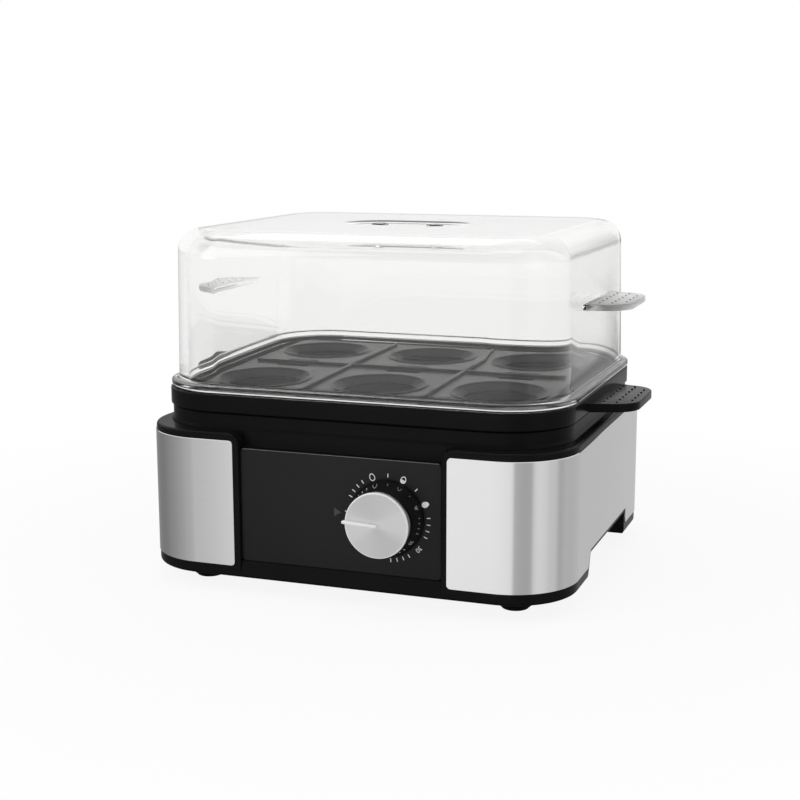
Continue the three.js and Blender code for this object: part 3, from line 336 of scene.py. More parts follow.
def clearPlastic(name):
    # polished styrene acrylonitrile: nearly colourless, sharp highlights, grey where it is seen edge
    # on. The finger tabs, past tabStart, are textured, so they look frosted and greyer
    look = clearLook
    made, tree = startFinish(name)
    point = objectPoint(tree)
    haze = addNode(tree, "TexNoise", {"Vector": point, "Scale": 1000 / look["hazePatch"], "Detail": 2.0})
    smooth, dull = look["roughness"]
    rough = addNode(tree, "MapRange", {"Value": haze, "To Min": smooth, "To Max": dull})
    split = addNode(tree, "SeparateXYZ", {"Vector": point})
    out = addNode(tree, "Math", {0: split.outputs["X"]}, operation="ABSOLUTE")
    onTab = addNode(tree, "MapRange", {"Value": out, "From Min": look["tabStart"] * millimetre,
                                       "From Max": (look["tabStart"] + look["tabFade"]) * millimetre})
    lowest, full = ((lidTabTop - below) * millimetre for below in look["tabBelow"])
    higher = addNode(tree, "MapRange", {"Value": split.outputs["Z"], "From Min": lowest, "From Max": full})
    frosted = addNode(tree, "Math", {0: onTab, 1: higher}, operation="MULTIPLY")
    frost = addNode(tree, "Math", {0: frosted, 1: look["frostRoughness"], 2: rough}, operation="MULTIPLY_ADD")
    clear = addNode(tree, "Mix", {"Factor": frosted, "A": colour(look["body"]), "B": colour(look["frosted"])},
                    data_type="RGBA")
    # painted shade: the grip pips, from just over the tab's upper face, are tinted darker grey in place of the
    # shade they show
    above = addNode(tree, "Math", {0: split.outputs["Z"], 1: (lidTabTop + look["pipMiddle"]) * millimetre,
                                   2: look["pipReach"] * millimetre}, operation="COMPARE")
    pipShadeMask = addNode(tree, "Math", {0: above, 1: onTab}, operation="MULTIPLY")
    tint = addNode(tree, "Mix", {"Factor": pipShadeMask, "A": clear.outputs[2], "B": colour(look["pip"])},
                   data_type="RGBA")
    shader = addNode(tree, "BsdfPrincipled", {
        "Base Color": tint.outputs[2], "Roughness": frost, "IOR": 1.49, "Transmission Weight": 1.0})
    passing = addNode(tree, "BsdfTransparent", {"Color": colour(look["shadow"])})
    shadowRay = addNode(tree, "LightPath").outputs["Is Shadow Ray"]
    endFinish(tree, addNode(tree, "MixShader", {0: shadowRay, 1: shader, 2: passing}))
    return made


def brushedSteel(name):
    # stainless sheet brushed along its length: fine level lines, so reflections spread up and down
    # and stay crisp sideways. Real lines are about 0.05 mm; these are 0.3 mm so that they show
    lineLength, linePitch = 90, 0.3
    made, tree = startFinish(name)
    stretch = addNode(tree, "Mapping", {
        "Vector": objectPoint(tree), "Scale": (1000 / lineLength, 1000 / lineLength, 1000 / linePitch)})
    lines = addNode(tree, "TexNoise", {"Vector": stretch, "Scale": 1.0, "Detail": 3.0, "Roughness": 0.6})
    rough = addNode(tree, "MapRange", {"Value": lines, "To Min": 0.15, "To Max": 0.2})
    tint = addNode(tree, "Mix", {"Factor": lines, "A": colour("#e2e2e2"), "B": colour("#e8e8e8")},
                   data_type="RGBA")
    bump = addNode(tree, "Bump", {"Height": lines, "Strength": 0.05, "Distance": 0.01 * millimetre})
    tangent = addNode(tree, "Tangent", direction_type="UV_MAP", uv_map="brushing")
    endFinish(tree, addNode(tree, "BsdfPrincipled", {
        "Base Color": tint.outputs[2], "Metallic": 1.0, "Roughness": rough, "Anisotropic": 0.75,
        "Tangent": tangent, "Normal": bump}))
    return made


def spunAluminium(name):
    # lathe-turned disc: rings about 0.25 mm apart, which fan each highlight into two wedges. The
    # map's first part is the radius in millimetres
    ringPitch = 0.25
    made, tree = startFinish(name)
    split = addNode(tree, "SeparateXYZ", {"Vector": addNode(tree, "UVMap", uv_map="turning")})
    rings = addNode(tree, "TexNoise", {"W": split, "Scale": 1 / ringPitch, "Detail": 2.0}, noise_dimensions="1D")
    rough = addNode(tree, "MapRange", {"Value": rings, "To Min": 0.42, "To Max": 0.52})
    tangent = addNode(tree, "Tangent", direction_type="UV_MAP", uv_map="turning")
    endFinish(tree, addNode(tree, "BsdfPrincipled", {
        "Base Color": colour("#f0f0f0"), "Metallic": 1.0, "Roughness": rough, "Anisotropic": 0.94,
        "Tangent": tangent}))
    return made


def plainMetal(name, base, roughness, patch):
    # plated or annealed metal: its shine varies from patch to patch
    made, tree = startFinish(name)
    cloud = addNode(tree, "TexNoise", {"Vector": objectPoint(tree), "Scale": 1000 / patch, "Detail": 4.0})
    rough = addNode(tree, "MapRange", {"Value": cloud, "To Min": roughness - 0.08, "To Max": roughness + 0.1})
    endFinish(tree, addNode(tree, "BsdfPrincipled", {
        "Base Color": colour(base), "Metallic": 1.0, "Roughness": rough}))
    return made


# finish: the plastic, its darker and lighter colour, roughness, grain and its depth in millimetres,
# specular level, lacquer
plastics = {
    "housingAbs": ("satin_black_abs", "#131313", "#171717", 0.24, 0.5, 0.01, 0.04),
    "trayPlastic": ("black_polypropylene", "#121212", "#161616", 0.22, 1.2, 0.0015, 0.045),
    "panelAbs": ("matt_black_panel_abs", "#1b1b1b", "#1f1f1f", 0.34, 0.35, 0.012, 0.16),
    # painted highlight: a light grey that stands in for the highlight on the panel's upper edge
    "panelEdgeHighlight": ("painted_highlight_black_abs_edge", "#666666", "#787878", 0.35, 0.5, 0.004, 0.3),
    "dullAbs": ("dull_black_abs", "#0c0c0c", "#101010", 0.6, 0.8, 0.01, 0.1),
    "knobAbs": ("gloss_black_abs", "#101010", "#141414", 0.04, 1.5, 0.001, 1.0, 1.0),
    # painted highlight: near white, standing in for the light on the disc's turned edge
    "discEdgeHighlight": ("painted_highlight_disc_edge", "#f8f8f8", "#ffffff", 0.3, 0.8, 0.002),
    "printInk": ("white_screen_ink", "#f6f6f6", "#ffffff", 0.5, 0.3, 0.004),
    "faintInk": ("grey_screen_ink", "#464646", "#4c4c4c", 0.5, 0.3, 0.004, 0.2),
    "pointerPaint": ("white_painted_metal", "#f6f6f6", "#fcfcfc", 0.3, 0.8, 0.004),
    "bowlCoat": ("nonstick_coated_aluminium", "#2a2a2c", "#323234", 0.42, 0.5, 0.02, 0.3),
    "rubber": ("black_rubber", "#0a0a0a", "#0e0e0e", 0.75, 0.8, 0.03, 0.1),
    "silicone": ("grey_silicone", "#8c8c8a", "#969694", 0.6, 0.8, 0.02, 0.4),
    "cream": ("cream_phenolic", "#cfc9b8", "#dad4c6", 0.45, 0.6, 0.02),
    "ceramic": ("glazed_steatite", "#d9d3c4", "#e2dccf", 0.25, 2.0, 0.01),
    "sleeve": ("silicone_sleeving", "#8f3228", "#9f3b2f", 0.55, 0.7, 0.02),
}
# finish: the metal, its colour, roughness and the size of its patches in millimetres
metals = {
    "zinc": ("zinc_plated_steel", "#b4b4b0", 0.36, 4),
    "heaterSteel": ("annealed_heater_steel", "#86827c", 0.42, 8),
    "bellSteel": ("nickel_plated_steel", "#cfcfcd", 0.2, 12),
}
finishes = {finish: mouldedPlastic(*look) for finish, look in plastics.items()}
finishes.update({finish: plainMetal(*look) for finish, look in metals.items()})
finishes.update(lidPlastic=clearPlastic("clear_styrene_acrylonitrile"), discMetal=spunAluminium("spun_aluminium"),
                steelSheet=brushedSteel("brushed_stainless_steel"))
print("scene: finishes made")


# Plans and levels of the housing, about its middle

housing = {
    "plan": (87.0, 78.99, 26.5), "collarPlan": (82.7, 71.9, 26.7), "bottom": lowOf("body_shell")[2],
    "ledge": 63.4, "collarTop": highOf("body_shell")[2], "seatTop": 65.1, "start": 40.9, "openingCorner": 5.0,
    "frameDepth": 0.3, "endRound": 0.55, "rimRound": 1.3, "sillRound": 1.3, "notchSill": 0.8, "wall": 3.0,
    "ledgeDepth": 10.5, "ledgeThickness": 2.4, "endWall": 2.42, "endInset": 0.1, "frontStep": 52.0,
    "panelLow": lowOf("control_panel")[2] - 0.12, "panelHigh": 57.7, "panelSeat": 1.9, "faceDepth": 1.6,
    "collarFaceDepth": 6.4, "blockDepth": 4.3, "lap": 0.3, "stepRound": 0.5, "skin": 2.4, "brow": 1.4,
    "sillEase": 0.15, "collarEase": 0.1,
    "flare": ((0, -2.4), (0.7, 0), (0.68, 0.3), (0.1, 1.2), (0, 1.5)),
    "collarWidth": 7, "collarFoot": 5, "brimRound": 0.5, "brimWidth": 3, "edge": 0.3,
    "notchTop": 15.5, "notchFront": (-35.2, -30.4), "notchBack": (33.2, 32.7), "pocketDepth": 12.0,
    "linerWall": 2, "linerGap": 3.2, "linerEnd": 1.6, "linerEndGap": 0.9, "linerEndRound": 0.2,
    "boreRadius": 5.9, "boreReach": (60, 99),
}


def sidePath(plan, frontX, sideY, steps=24):
    # from the front opening round the right-hand side to the rear opening: points and outward
    # directions, straight along the front, a quarter turn, the side, a quarter turn, the back
    halfX, halfY, r = plan
    lead = np.asarray(frontX, float)
    turn = np.radians(np.linspace(-90, 0, steps + 1))
    front = np.stack([lead, np.full_like(lead, -halfY)], -1)
    corner = np.stack([halfX - r + r * np.cos(turn), -(halfY - r) + r * np.sin(turn)], -1)
    flank = np.stack([np.full(len(sideY), halfX), sideY], -1)
    place = np.concatenate([front, corner, flank, corner[::-1] * [1, -1], front[::-1] * [1, -1]])
    facing = np.concatenate([np.tile([0.0, -1.0], (len(lead), 1)), np.stack([np.cos(turn), np.sin(turn)], -1),
                             np.tile([1.0, 0.0], (len(flank), 1)),
                             np.stack([np.cos(turn[::-1]), -np.sin(turn[::-1])], -1),
                             np.tile([0.0, 1.0], (len(lead), 1))])
    return place, facing


def notchRise(y, piece):
    # lower edge of the side: an S curve up at the front of the finger notch, a steep drop at its back
    front, back, bottom = piece["notchFront"], piece["notchBack"], piece["bottom"]
    up = np.clip((y - front[0]) / (front[1] - front[0]), 0, 1)
    down = np.clip((back[0] - y) / (back[0] - back[1]), 0, 1)
    share = (up * up * (3 - 2 * up)) * (down * down * (3 - 2 * down))
    return bottom + (piece["notchTop"] - bottom) * share


def sideRows(piece, lead, cornerSteps=24):
    # rows round the side: places, outward directions, distances from the piece's end (a large number
    # away from front and back) and heights of the lower edge. They lie close on the notch's curves
    plan, front, back = housing["plan"], piece["notchFront"], piece["notchBack"]
    limit = plan[1] - plan[2]
    side = [0.2 - limit, 4 - limit, *np.linspace(*front, 14), *np.linspace(*back[::-1], 5),
            limit - 4, limit - 0.2]
    place, facing = sidePath(plan, np.unique(np.round(lead, 4)), side, cornerSteps)
    fromEnd = np.where(np.abs(facing[:, 1]) > 0.999, place[:, 0] - piece["start"], 99.0)
    return place, facing, fromEnd, np.where(facing[:, 0] > 0.9999, notchRise(place[:, 1], piece), piece["bottom"])


def sideGrid(place, facing, depth, height):
    # points at a depth behind each row's place, and at a height
    plane = place[:, None, :] - facing[:, None, :] * depth[:, :, None]
    return np.concatenate([plane, height[:, :, None]], -1)


def roundOff(distance, r):
    # how far a corner of radius r falls back, at a distance from its end: a quarter circle
    return r * (1 - np.sqrt(1 - np.clip(1 - distance / r, 0, 1) ** 2))


def cheekForm():
    # an upside-down L section (outer wall, rounded rim, ledge) carried round the side. Near each
    # end it is drawn in on a quarter circle, and its top falls on a larger quarter circle
    h = housing
    start, endRound, corner = h["start"], h["endRound"], h["openingCorner"]
    curl, sweep = np.radians(np.linspace(90, 0, 6)), np.radians(np.linspace(12, 90, 12))
    # the rows lie close where the end curls and falls, and on both sides of the end wall's inner face
    lead = np.concatenate([start + endRound * (1 - np.sin(curl)), start + corner * (1 - np.cos(sweep)),
                           [start + corner + 1.5, h["frontStep"], h["plan"][0] - h["plan"][2] - 0.2],
                           start + h["endWall"] + np.array([-0.02, 0.03])])
    place, facing, fromEnd, edge = sideRows(h, lead)
    drawn = roundOff(fromEnd, endRound)[:, None]
    top = (h["ledge"] - roundOff(fromEnd, corner))[:, None] - drawn
    low = edge[:, None] + drawn
    inNotch = (low - h["bottom"] - drawn) / (h["notchTop"] - h["bottom"])
    sill = h["sillRound"] + (h["notchSill"] - h["sillRound"]) * np.clip(inNotch, 0, 1)
    skin, ledge = h["frameDepth"] + drawn, np.full(drawn.shape, h["ledgeDepth"])
    inside = np.where(fromEnd[:, None] < h["endWall"], ledge - h["endInset"], h["frameDepth"] + h["wall"])
    bend = np.linspace(0, np.pi / 2, 8)
    under = top - h["ledgeThickness"]
    depth = np.concatenate([skin + sill * (1 - np.sin(bend)), skin + h["rimRound"] * (1 - np.cos(bend)),
                            ledge, ledge, inside, inside], 1)
    height = np.concatenate([low + sill * (1 - np.cos(bend)), top - h["rimRound"] * (1 - np.sin(bend)),
                             top, under, under, low], 1)
    return form(sideGrid(place, facing, depth, height))


def centreBlock(front):
    # face of the middle: sill, control face, small ledge and the collar's face, as one section along X
    h = housing
    deep, bottom, ledge, high = h["plan"][1], h["bottom"], h["ledge"], h["panelHigh"]
    sill, face, collar = deep - h["frameDepth"], deep - h["faceDepth"], deep - h["collarFaceDepth"]
    back, seat = face - h["blockDepth"], face - h["panelSeat"]
    r, step, skin, brow = h["sillRound"], h["stepRound"], h["skin"], h["brow"]
    section = [[back, bottom]] + arc(sill - r, bottom + r, r, -90, 0, 6)
    section += [[face + h["sillEase"], h["panelLow"] - step]]
    if front:
        section += [[face, h["panelLow"]], [seat, h["panelLow"]], [seat, high]]
    else:
        section += arc(face - step, high - step, step, 0, 90, 4)
    section += [[collar + step, high]] + arc(collar + step, high + step, step, 270, 180, 4)
    section += [[collar, ledge - h["edge"]], [collar - h["collarEase"], ledge + h["edge"]],
                [collar - brow / 2, ledge + brow], [collar - skin, ledge + brow],
                [collar - skin, high - skin], [back, high - skin]]
    loop = np.array(section) * ([-1, 1] if front else [1, 1])
    return form(alongWidth(prismGrid(loop, -h["start"] - h["lap"], h["start"] + h["lap"])))


def collarForm():
    # ring that carries the tray: flared foot, rounded brim, and the step where the bowl's rim lies
    h = housing
    top, seat, low = h["collarTop"], h["seatTop"], h["ledge"] - h["collarFoot"]
    r, brim, width, edge = h["brimRound"], h["brimWidth"], h["collarWidth"], h["edge"]
    profile = [[-width, low], [0, low]] + [[out, h["ledge"] + rise] for out, rise in h["flare"]]
    profile += arc(-r, top - r, r, 0, 90, 4) + arc(r - brim, top - r, r, 90, 180, 4)
    profile += [[-brim, seat + edge], [-brim - edge, seat], [edge - width, seat], [-width, seat - edge]]
    return form(ringGrid(around(h["collarPlan"], profile), 24), closeRows=True)


def notchLiner():
    # roof, back and ends of the finger pocket
    h = housing
    halfX, low, roof, wall = h["plan"][0], h["bottom"], h["notchTop"], h["linerWall"]
    (front, _), (back, _) = h["notchFront"], h["notchBack"]
    deep, near, end = halfX - h["pocketDepth"], halfX - h["linerGap"], h["linerEnd"]
    section = np.array([[deep - wall, low], [deep, low], [deep, roof], [near, roof], [near, roof + wall],
                        [deep - wall, roof + wall]])
    far, r = halfX - h["linerEndGap"], h["linerEndRound"]
    ends = [form(prismGrid(roundedLoop(deep - wall, y, far, y + end, r, 2), low, roof + wall))
            for y in (front - end, back)]
    return [form(outFront(prismGrid(section, -back, -front))), *ends]


def makeHousing():
    # both sides, the middle's front and back, and the collar make one moulding
    h = housing
    gland, (near, far) = middleOf("cord_gland"), h["boreReach"]
    rear = meshOf("rear_block", [centreBlock(False)])
    bore = turnedGrid([[h["boreRadius"], -far], [h["boreRadius"], -near]], 48)
    combine(rear, [form(outFront(bore), at=(gland[0], 0, gland[2]))], "DIFFERENCE")
    sides = bothSides([cheekForm(), *notchLiner()])
    thing = meshOf("housing_moulding", [*sides, centreBlock(True), collarForm()])
    addMesh(thing, rear.data)
    bpy.data.objects.remove(rear)
    toMiddle(thing)
    settle(thing, finishes["housingAbs"], "black_plastic", "base", "body_shell")


makeHousing()
print("scene: housing made")


# Steel cheeks

steel = {"bottom": 10.8, "high": 60.6, "start": 43.3, "corner": 1.6, "thickness": 0.6, "chamfer": 0.18,
         "frontSteps": (48.0, 54.0), "notchTop": 17.3, "notchFront": (-36.6, -31.7), "notchBack": (34.9, 34.4)}


def makeSteel(name, node, side):
    # the sheet is a grid: along the path round the side, and from its lower to its upper edge.
    # Both edges turn in on the corner radius at the two ends, and the border is chamfered
    s = steel
    plan, start, r, c = housing["plan"], s["start"], s["corner"], s["chamfer"]
    bend = np.radians(np.linspace(90, 0, 8))
    lead = [*(start + r * (1 - np.sin(bend))), start + c, *s["frontSteps"], plan[0] - plan[2] - 0.2]
    place, facing, fromEnd, low = sideRows(s, lead, 32)
    turn = roundOff(fromEnd, r)
    low, high = low + turn, s["high"] - turn
    rise = np.stack([low, low + c, low + 4 * c, (low + high) / 2, high - 4 * c, high - c, high], -1)
    chamfered = np.zeros(rise.shape)
    chamfered[:, [0, -1]] = chamfered[[0, -1], :] = c
    # outer face up, inner face back down: one closed section for each place on the path
    outer = sideGrid(place, facing, chamfered, rise)
    inner = sideGrid(place, facing, np.full(rise.shape, s["thickness"]), rise)
    grid = np.concatenate([outer, inner[:, ::-1]], 1) + [0, middleY, 0]
    shape = form(grid)
    thing = meshOf(name, [mirrored(shape) if side < 0 else shape])
    # the brushing's map is the sheet laid flat: height and distance along the path
    run = np.concatenate([[0], np.cumsum(np.linalg.norm(np.diff(place, axis=0), axis=1))])
    unrolled = np.stack([grid[..., 2], np.repeat(run[:, None], grid.shape[1], 1)], -1).reshape(-1, 2) * millimetre
    thing.data.uv_layers.new(name="brushing").data.foreach_set("uv", unrolled[cornerPoints(thing)].ravel())
    settle(thing, finishes["steelSheet"], "brushed_steel", "base", node, sharp=25)


makeSteel("brushed_sheet_right", "steel_cheek_right", 1)
makeSteel("brushed_sheet_left", "steel_cheek_left", -1)
print("scene: steel made")


# Control panel, with its printed scale

panel = {"half": 40.8, "low": lowOf("control_panel")[2], "high": highOf("control_panel")[2], "corner": 1.6,
         "face": lowOf("control_panel")[1], "thickness": 1.6, "edge": 0.3, "axis": middleOf("timer_shaft")[0],
         "axisZ": middleOf("timer_shaft")[2], "shaftHole": 5.5, "holeReach": 120}
# on the dial, angles are in degrees clockwise from nine o'clock. An egg has its angle and how full it is
dial = {"radius": 16.3, "ink": 0.05, "sunk": 0.02, "tickLength": 1.5, "tickWidth": 0.33, "tickRound": 0.12,
        "ticks": (4, 26, 35, 44, 53, 91, 134.5, 175.5, 184.5, 193.5, 202.5, 238.5, 247.5, 256.5, 265.5),
        "eggLength": 2.95, "eggWidth": 2.25, "bluntness": 0.12, "hollow": 0.76,
        "eggs": ((68.5, 0.0), (113.0, 0.5), (157.0, 1.0)), "number": "30", "numberAt": (221.5, 16.5),
        "numberSize": 2.6, "arrowAt": (1.4, 19.98), "arrow": ((-1.47, -1.72), (1.48, 0.0), (-1.47, 1.72))}


def onDial(clockwise, radius):
    # place on the panel at an angle clockwise from nine o'clock
    angle = math.radians(180 - clockwise)
    return panel["axis"] + radius * math.cos(angle), panel["axisZ"] + radius * math.sin(angle), angle


def inkForm(loop):
    # a flat mark that stands out from the panel by the ink's thickness
    return form(outFront(prismGrid(loop, -panel["face"] - dial["sunk"], -panel["face"] + dial["ink"])))


def turnedLoop(loop, x, z, angle):
    # the loop turned by an angle, then moved to its place
    c, s = math.cos(angle), math.sin(angle)
    return loop @ np.array([[c, s], [-s, c]]) + [x, z]


def eggLoop(scale, steps=32):
    # an oval whose blunt end is a little fuller: the width is stretched towards that end
    t = np.arange(steps) * 2 * np.pi / steps
    width = scale * dial["eggWidth"] / 2 * (1 - dial["bluntness"] * np.sin(t))
    return np.stack([width * np.cos(t), scale * dial["eggLength"] / 2 * np.sin(t)], -1)


def eggForms(clockwise, fill):
    # a full egg is one mark; the others are an outline, with the lower half filled in between them
    x, z, angle = onDial(clockwise, dial["radius"])
    outline, hollow = (turnedLoop(eggLoop(scale), x, z, angle - math.pi / 2) for scale in (1.0, dial["hollow"]))
    if fill == 1.0:
        return [inkForm(outline)]
    back, front = -panel["face"] - dial["sunk"], -panel["face"] + dial["ink"]
    ring = np.stack([np.column_stack([loop, np.full(len(loop), depth)])
                     for loop, depth in ((outline, back), (outline, front), (hollow, front), (hollow, back))])
    forms = [form(outFront(ring), closeRows=True)]
    if fill > 0:
        forms.append(inkForm(hollow[eggLoop(dial["hollow"])[:, 1] < 0.05]))
    return forms


def numberMesh():
    # the dial's number as a mesh, stood up on the panel and turned to its place on the scale
    writing = bpy.data.curves.new("number", "FONT")
    writing.body, writing.size = dial["number"], dial["numberSize"] * millimetre
    writing.extrude, writing.resolution_u = dial["ink"] * millimetre / 2, 4
    writing.align_x, writing.align_y = "CENTER", "CENTER"
    flat = addObject("number", writing)
    number = bpy.data.meshes.new_from_object(flat.evaluated_get(bpy.context.evaluated_depsgraph_get()))
    bpy.data.objects.remove(flat)
    x, z, angle = onDial(*dial["numberAt"])
    turn = Matrix.Rotation(angle - math.pi / 2, 4, "Z")
    place = Matrix.Translation((x * millimetre, (panel["face"] - dial["ink"] / 2) * millimetre, z * millimetre))
    number.transform(place @ Matrix.Rotation(math.pi / 2, 4, "X") @ turn)
    return number


def makePanel():
    # a rounded plate with the shaft's hole, the scale printed on it and the arrow beside it
    p = panel
    plate = roundedLoop(-p["half"], p["low"], p["half"], p["high"], p["corner"])
    body = prismGrid(plate, -p["face"] - p["thickness"], -p["face"], p["edge"])
    thing = meshOf("dial_panel", [form(outFront(body))])
    hole = outFront(turnedGrid([[p["shaftHole"], -p["holeReach"]], [p["shaftHole"], p["holeReach"]]], 64))
    combine(thing, [form(hole, at=(p["axis"], 0, p["axisZ"]))], "DIFFERENCE")
    settle(thing, finishes["panelAbs"], "panel_plastic", "base", "control_panel")
    # painted highlight: the faces of the rounded upper edge get a light grey finish that stands in for the light
    # the edge catches
    middle, facing = faceVectors(thing, "center") / millimetre, faceVectors(thing, "normal")
    edgeHighlightFaces = (middle[:, 2] > p["high"] - p["edge"] - 0.02) & (middle[:, 1] < p["face"] + p["edge"])
    secondFinish(thing, finishes["panelEdgeHighlight"], edgeHighlightFaces & (facing[:, 2] > 0.3) & (facing[:, 1] < -0.1))

    length, width = dial["tickLength"] / 2, dial["tickWidth"] / 2
    tick = roundedLoop(-length, -width, length, width, dial["tickRound"], 2)
    marks = [inkForm(turnedLoop(tick, *onDial(place, dial["radius"]))) for place in dial["ticks"]]
    for place, fill in dial["eggs"]:
        marks += eggForms(place, fill)
    ink = meshOf("dial_marks", marks)
    addMesh(ink, numberMesh())
    settle(ink, finishes["printInk"], "cream_plastic", "base")
    x, z, _ = onDial(*dial["arrowAt"])
    mark = meshOf("dial_arrow", [inkForm(np.array(dial["arrow"]) + [x, z])])
    settle(mark, finishes["faintInk"], "cream_plastic", "base")


makePanel()
print("scene: panel made")


# Knob: a gloss skirt, a spun disc and its raised pointer

knob = {"skirtRadius": 14.0, "baseRadius": 14.6, "baseHeight": 1.5, "flangeEdge": 0.05, "flangeFall": 0.25,
        "flangeStep": (0.05, 0.1), "wall": 1.6, "faceRadius": 12.4, "noseRound": 0.5, "noseOut": 0.1,
        "length": 10.3, "gap": 0.5, "boss": 2.0, "discGap": 0.3, "disc": 1.1, "discRound": 0.2, "bevel": 0.45,
        "discHole": 0.15, "discRings": (0.9, 0.7, 0.5, 0.3, 0.15, 0.05), "pointerWidth": 1.2,
        "pointerHeight": 1.3, "pointerOverhang": 0.8, "pointerTilt": 0.045, "pointerTaper": 0.8,
        "pointerRound": 0.3}


def fromAxis(thing, at):
    # how far the middle of each face lies from the knob's axis, in millimetres
    middle = faceVectors(thing, "center") / millimetre
    return np.hypot(middle[:, 0] - at[0], middle[:, 2] - at[2])


def layTurning(thing, grid):
    # a map of radius in millimetres and share of a turn, for the disc's spun rings
    angle = np.broadcast_to(np.arange(grid.shape[1]) / grid.shape[1], grid.shape[:2])
    radius = np.linalg.norm(grid[..., :2], axis=-1)
    flat = np.stack([radius, angle], -1).reshape(-1, 2)[cornerPoints(thing)]
    # the quads that close the circle run on to 1, not back to 0
    start, count = np.zeros((2, len(thing.data.polygons)), int)
    thing.data.polygons.foreach_get("loop_start", start)
    thing.data.polygons.foreach_get("loop_total", count)
    owner = np.repeat(np.arange(len(start)), count)
    widest = np.maximum.reduceat(flat[:, 1], start)[owner]
    flat[(widest > 0.9) & (flat[:, 1] < 0.1) & (count[owner] == 4), 1] += 1
    thing.data.uv_layers.new(name="turning").data.foreach_set("uv", flat.ravel())


def makeKnob():
    # skirt and disc are profiles turned round the shaft, and the pointer a tapered bar on the disc
    k = knob
    at = (panel["axis"], panel["face"], panel["axisZ"])
    base, front, brow = k["gap"], k["gap"] + k["length"], k["gap"] + k["baseHeight"]
    out, edge, wall, r, nose = k["baseRadius"], k["flangeEdge"], k["wall"], k["faceRadius"], k["noseRound"]
    step, drop = k["flangeStep"]
    profile = [[out - wall, base]] + arc(out - edge, base + edge, edge, -90, 0, 3)
    profile += [[out, brow - k["flangeFall"]], [k["skirtRadius"] + step, brow - drop]]
    profile += between([k["skirtRadius"], brow], [r + k["noseOut"] + 0.02, front - nose], 0.05)
    profile += arc(r + k["noseOut"] - nose, front - nose, nose, 5, 90, 4)
    profile += [[k["boss"], front], [k["boss"], front - wall], [r - wall, front - wall]]
    skirt = meshOf("gloss_skirt", [form(outFront(turnedGrid(profile, 128)), closeRows=True, at=at)])
    settle(skirt, finishes["knobAbs"], "black_plastic", "knob", "knob_skirt")
    # the flange at the skirt's foot is dull, so that no bright ring shows round it
    secondFinish(skirt, finishes["dullAbs"], fromAxis(skirt, at) > k["skirtRadius"] + 0.04)

    back = front + k["discGap"]
    face = back + k["disc"]
    hole, small, b = k["discHole"], k["discRound"], k["bevel"]
    profile = [[hole, back]] + arc(r - small, back + small, small, -90, 0, 2)
    profile += [[r, face - b]] + arc(r - b, face - b, b, 0, 90, 4) + [[r - b - 0.25, face]]
    profile += [[share * (r - b), face] for share in k["discRings"]] + [[hole, face]]
    grid = turnedGrid(profile, 128)
    disc = meshOf("spun_disc", [form(outFront(grid), at=at)])
    layTurning(disc, grid)
    settle(disc, finishes["discMetal"], "spun_aluminium", "knob", "knob_cap")
    # painted highlight: the bevel and the side of the disc get a near-white finish that stands in for the light
    # their turned edge catches
    secondFinish(disc, finishes["discEdgeHighlight"], fromAxis(disc, at) > r - b - 0.05)

    half = k["pointerWidth"] / 2
    blade = roundedLoop(-(r + k["pointerOverhang"]), -half, half, half, half - 0.01, 8)
    blade[:, 1] *= np.interp(blade[:, 0], [-(r + 1), half], [1.0, k["pointerTaper"]])
    blade[:, 1] -= k["pointerTilt"] * blade[:, 0]
    bar = prismGrid(blade, face - k["pointerRound"], face + k["pointerHeight"], k["pointerRound"])
    pointer = meshOf("pointer_blade", [form(outFront(bar), at=at)])
    settle(pointer, finishes["pointerPaint"], "spun_aluminium", "knob")


makeKnob()
print("scene: knob made")


# Egg tray

tray = {"foot": lowOf("egg_tray")[2] + 1.4, "skirtHeight": 7.0, "rimPlan": (81.5, 70.7, 25.5), "skirtWall": 2.0,
        "plateau": (72.2, 58.2, 8.0), "plateauDrop": 0.7, "gutterDrop": 3.6, "plate": 2.1, "edge": 0.3,
        "spigotPlan": (79.2, 68.4, 23.2), "spigotWall": 1.8, "spigotDrop": 1.4, "footRound": 0.7, "topRound": 0.8,
        "innerRound": 0.4, "gutterRound": 1.4, "plateauFoot": 1.0, "draft": 0.2, "columns": (-50.3, 0, 50.3),
        "rows": (-33.0, 33.0), "cupRadius": 18.49, "seatRadius": 15.0, "cupDepth": 3.4, "cupWall": 1.2,
        "cupRound": 0.35, "mouthGap": 0.6, "lip": 0.5, "ribX": 69.2, "ribY": 55.2, "ribWidth": 1.6,
        "ribHeight": 1.1, "ribSink": 1.0, "ribRound": 0.35, "ribEnd": 0.5, "slot": (15.0, 3.6), "slotY": 5.5,
        "tabRoot": 0.8, "tabThickness": 3.4, "tabReach": 17.28, "pipPitch": 6.0,
        "pips": ((4.4, 7), (9.3, 7), (14.2, 5))}
# both finger tabs; a pip's profile gives radius and height over the tab's face
tabs = {"rootHalf": 25.0, "tipHalf": 22.0, "corner": 11.0, "edge": 0.45,
        "pip": ((0.45, -0.4), (0.45, 0.1), (0.36, 0.27), (0.23, 0.37), (0.06, 0.4))}


def tabForms(piece, wallX, rootX, low):
    # a finger tab with its domed grip pips. Seen from above it tapers a little and has two round
    # corners; each row of pips is a distance out from the wall and a count
    tip, root, end, r = wallX + piece["tabReach"], tabs["rootHalf"], tabs["tipHalf"], tabs["corner"]
    top, pitch = low + piece["tabThickness"], piece["pipPitch"]
    loop = [[rootX, -root], *arc(tip - r, r - end, r, -84, 0, 10), *arc(tip - r, end - r, r, 0, 84, 10),
            [rootX, root]]
    tab = form(prismGrid(np.array(loop), low, top, tabs["edge"], 4))
    dome = turnedGrid(tabs["pip"], 12)
    return tab, [form(dome, at=(wallX + out, (i - (count - 1) / 2) * pitch, top))
                 for out, count in piece["pips"] for i in range(count)]


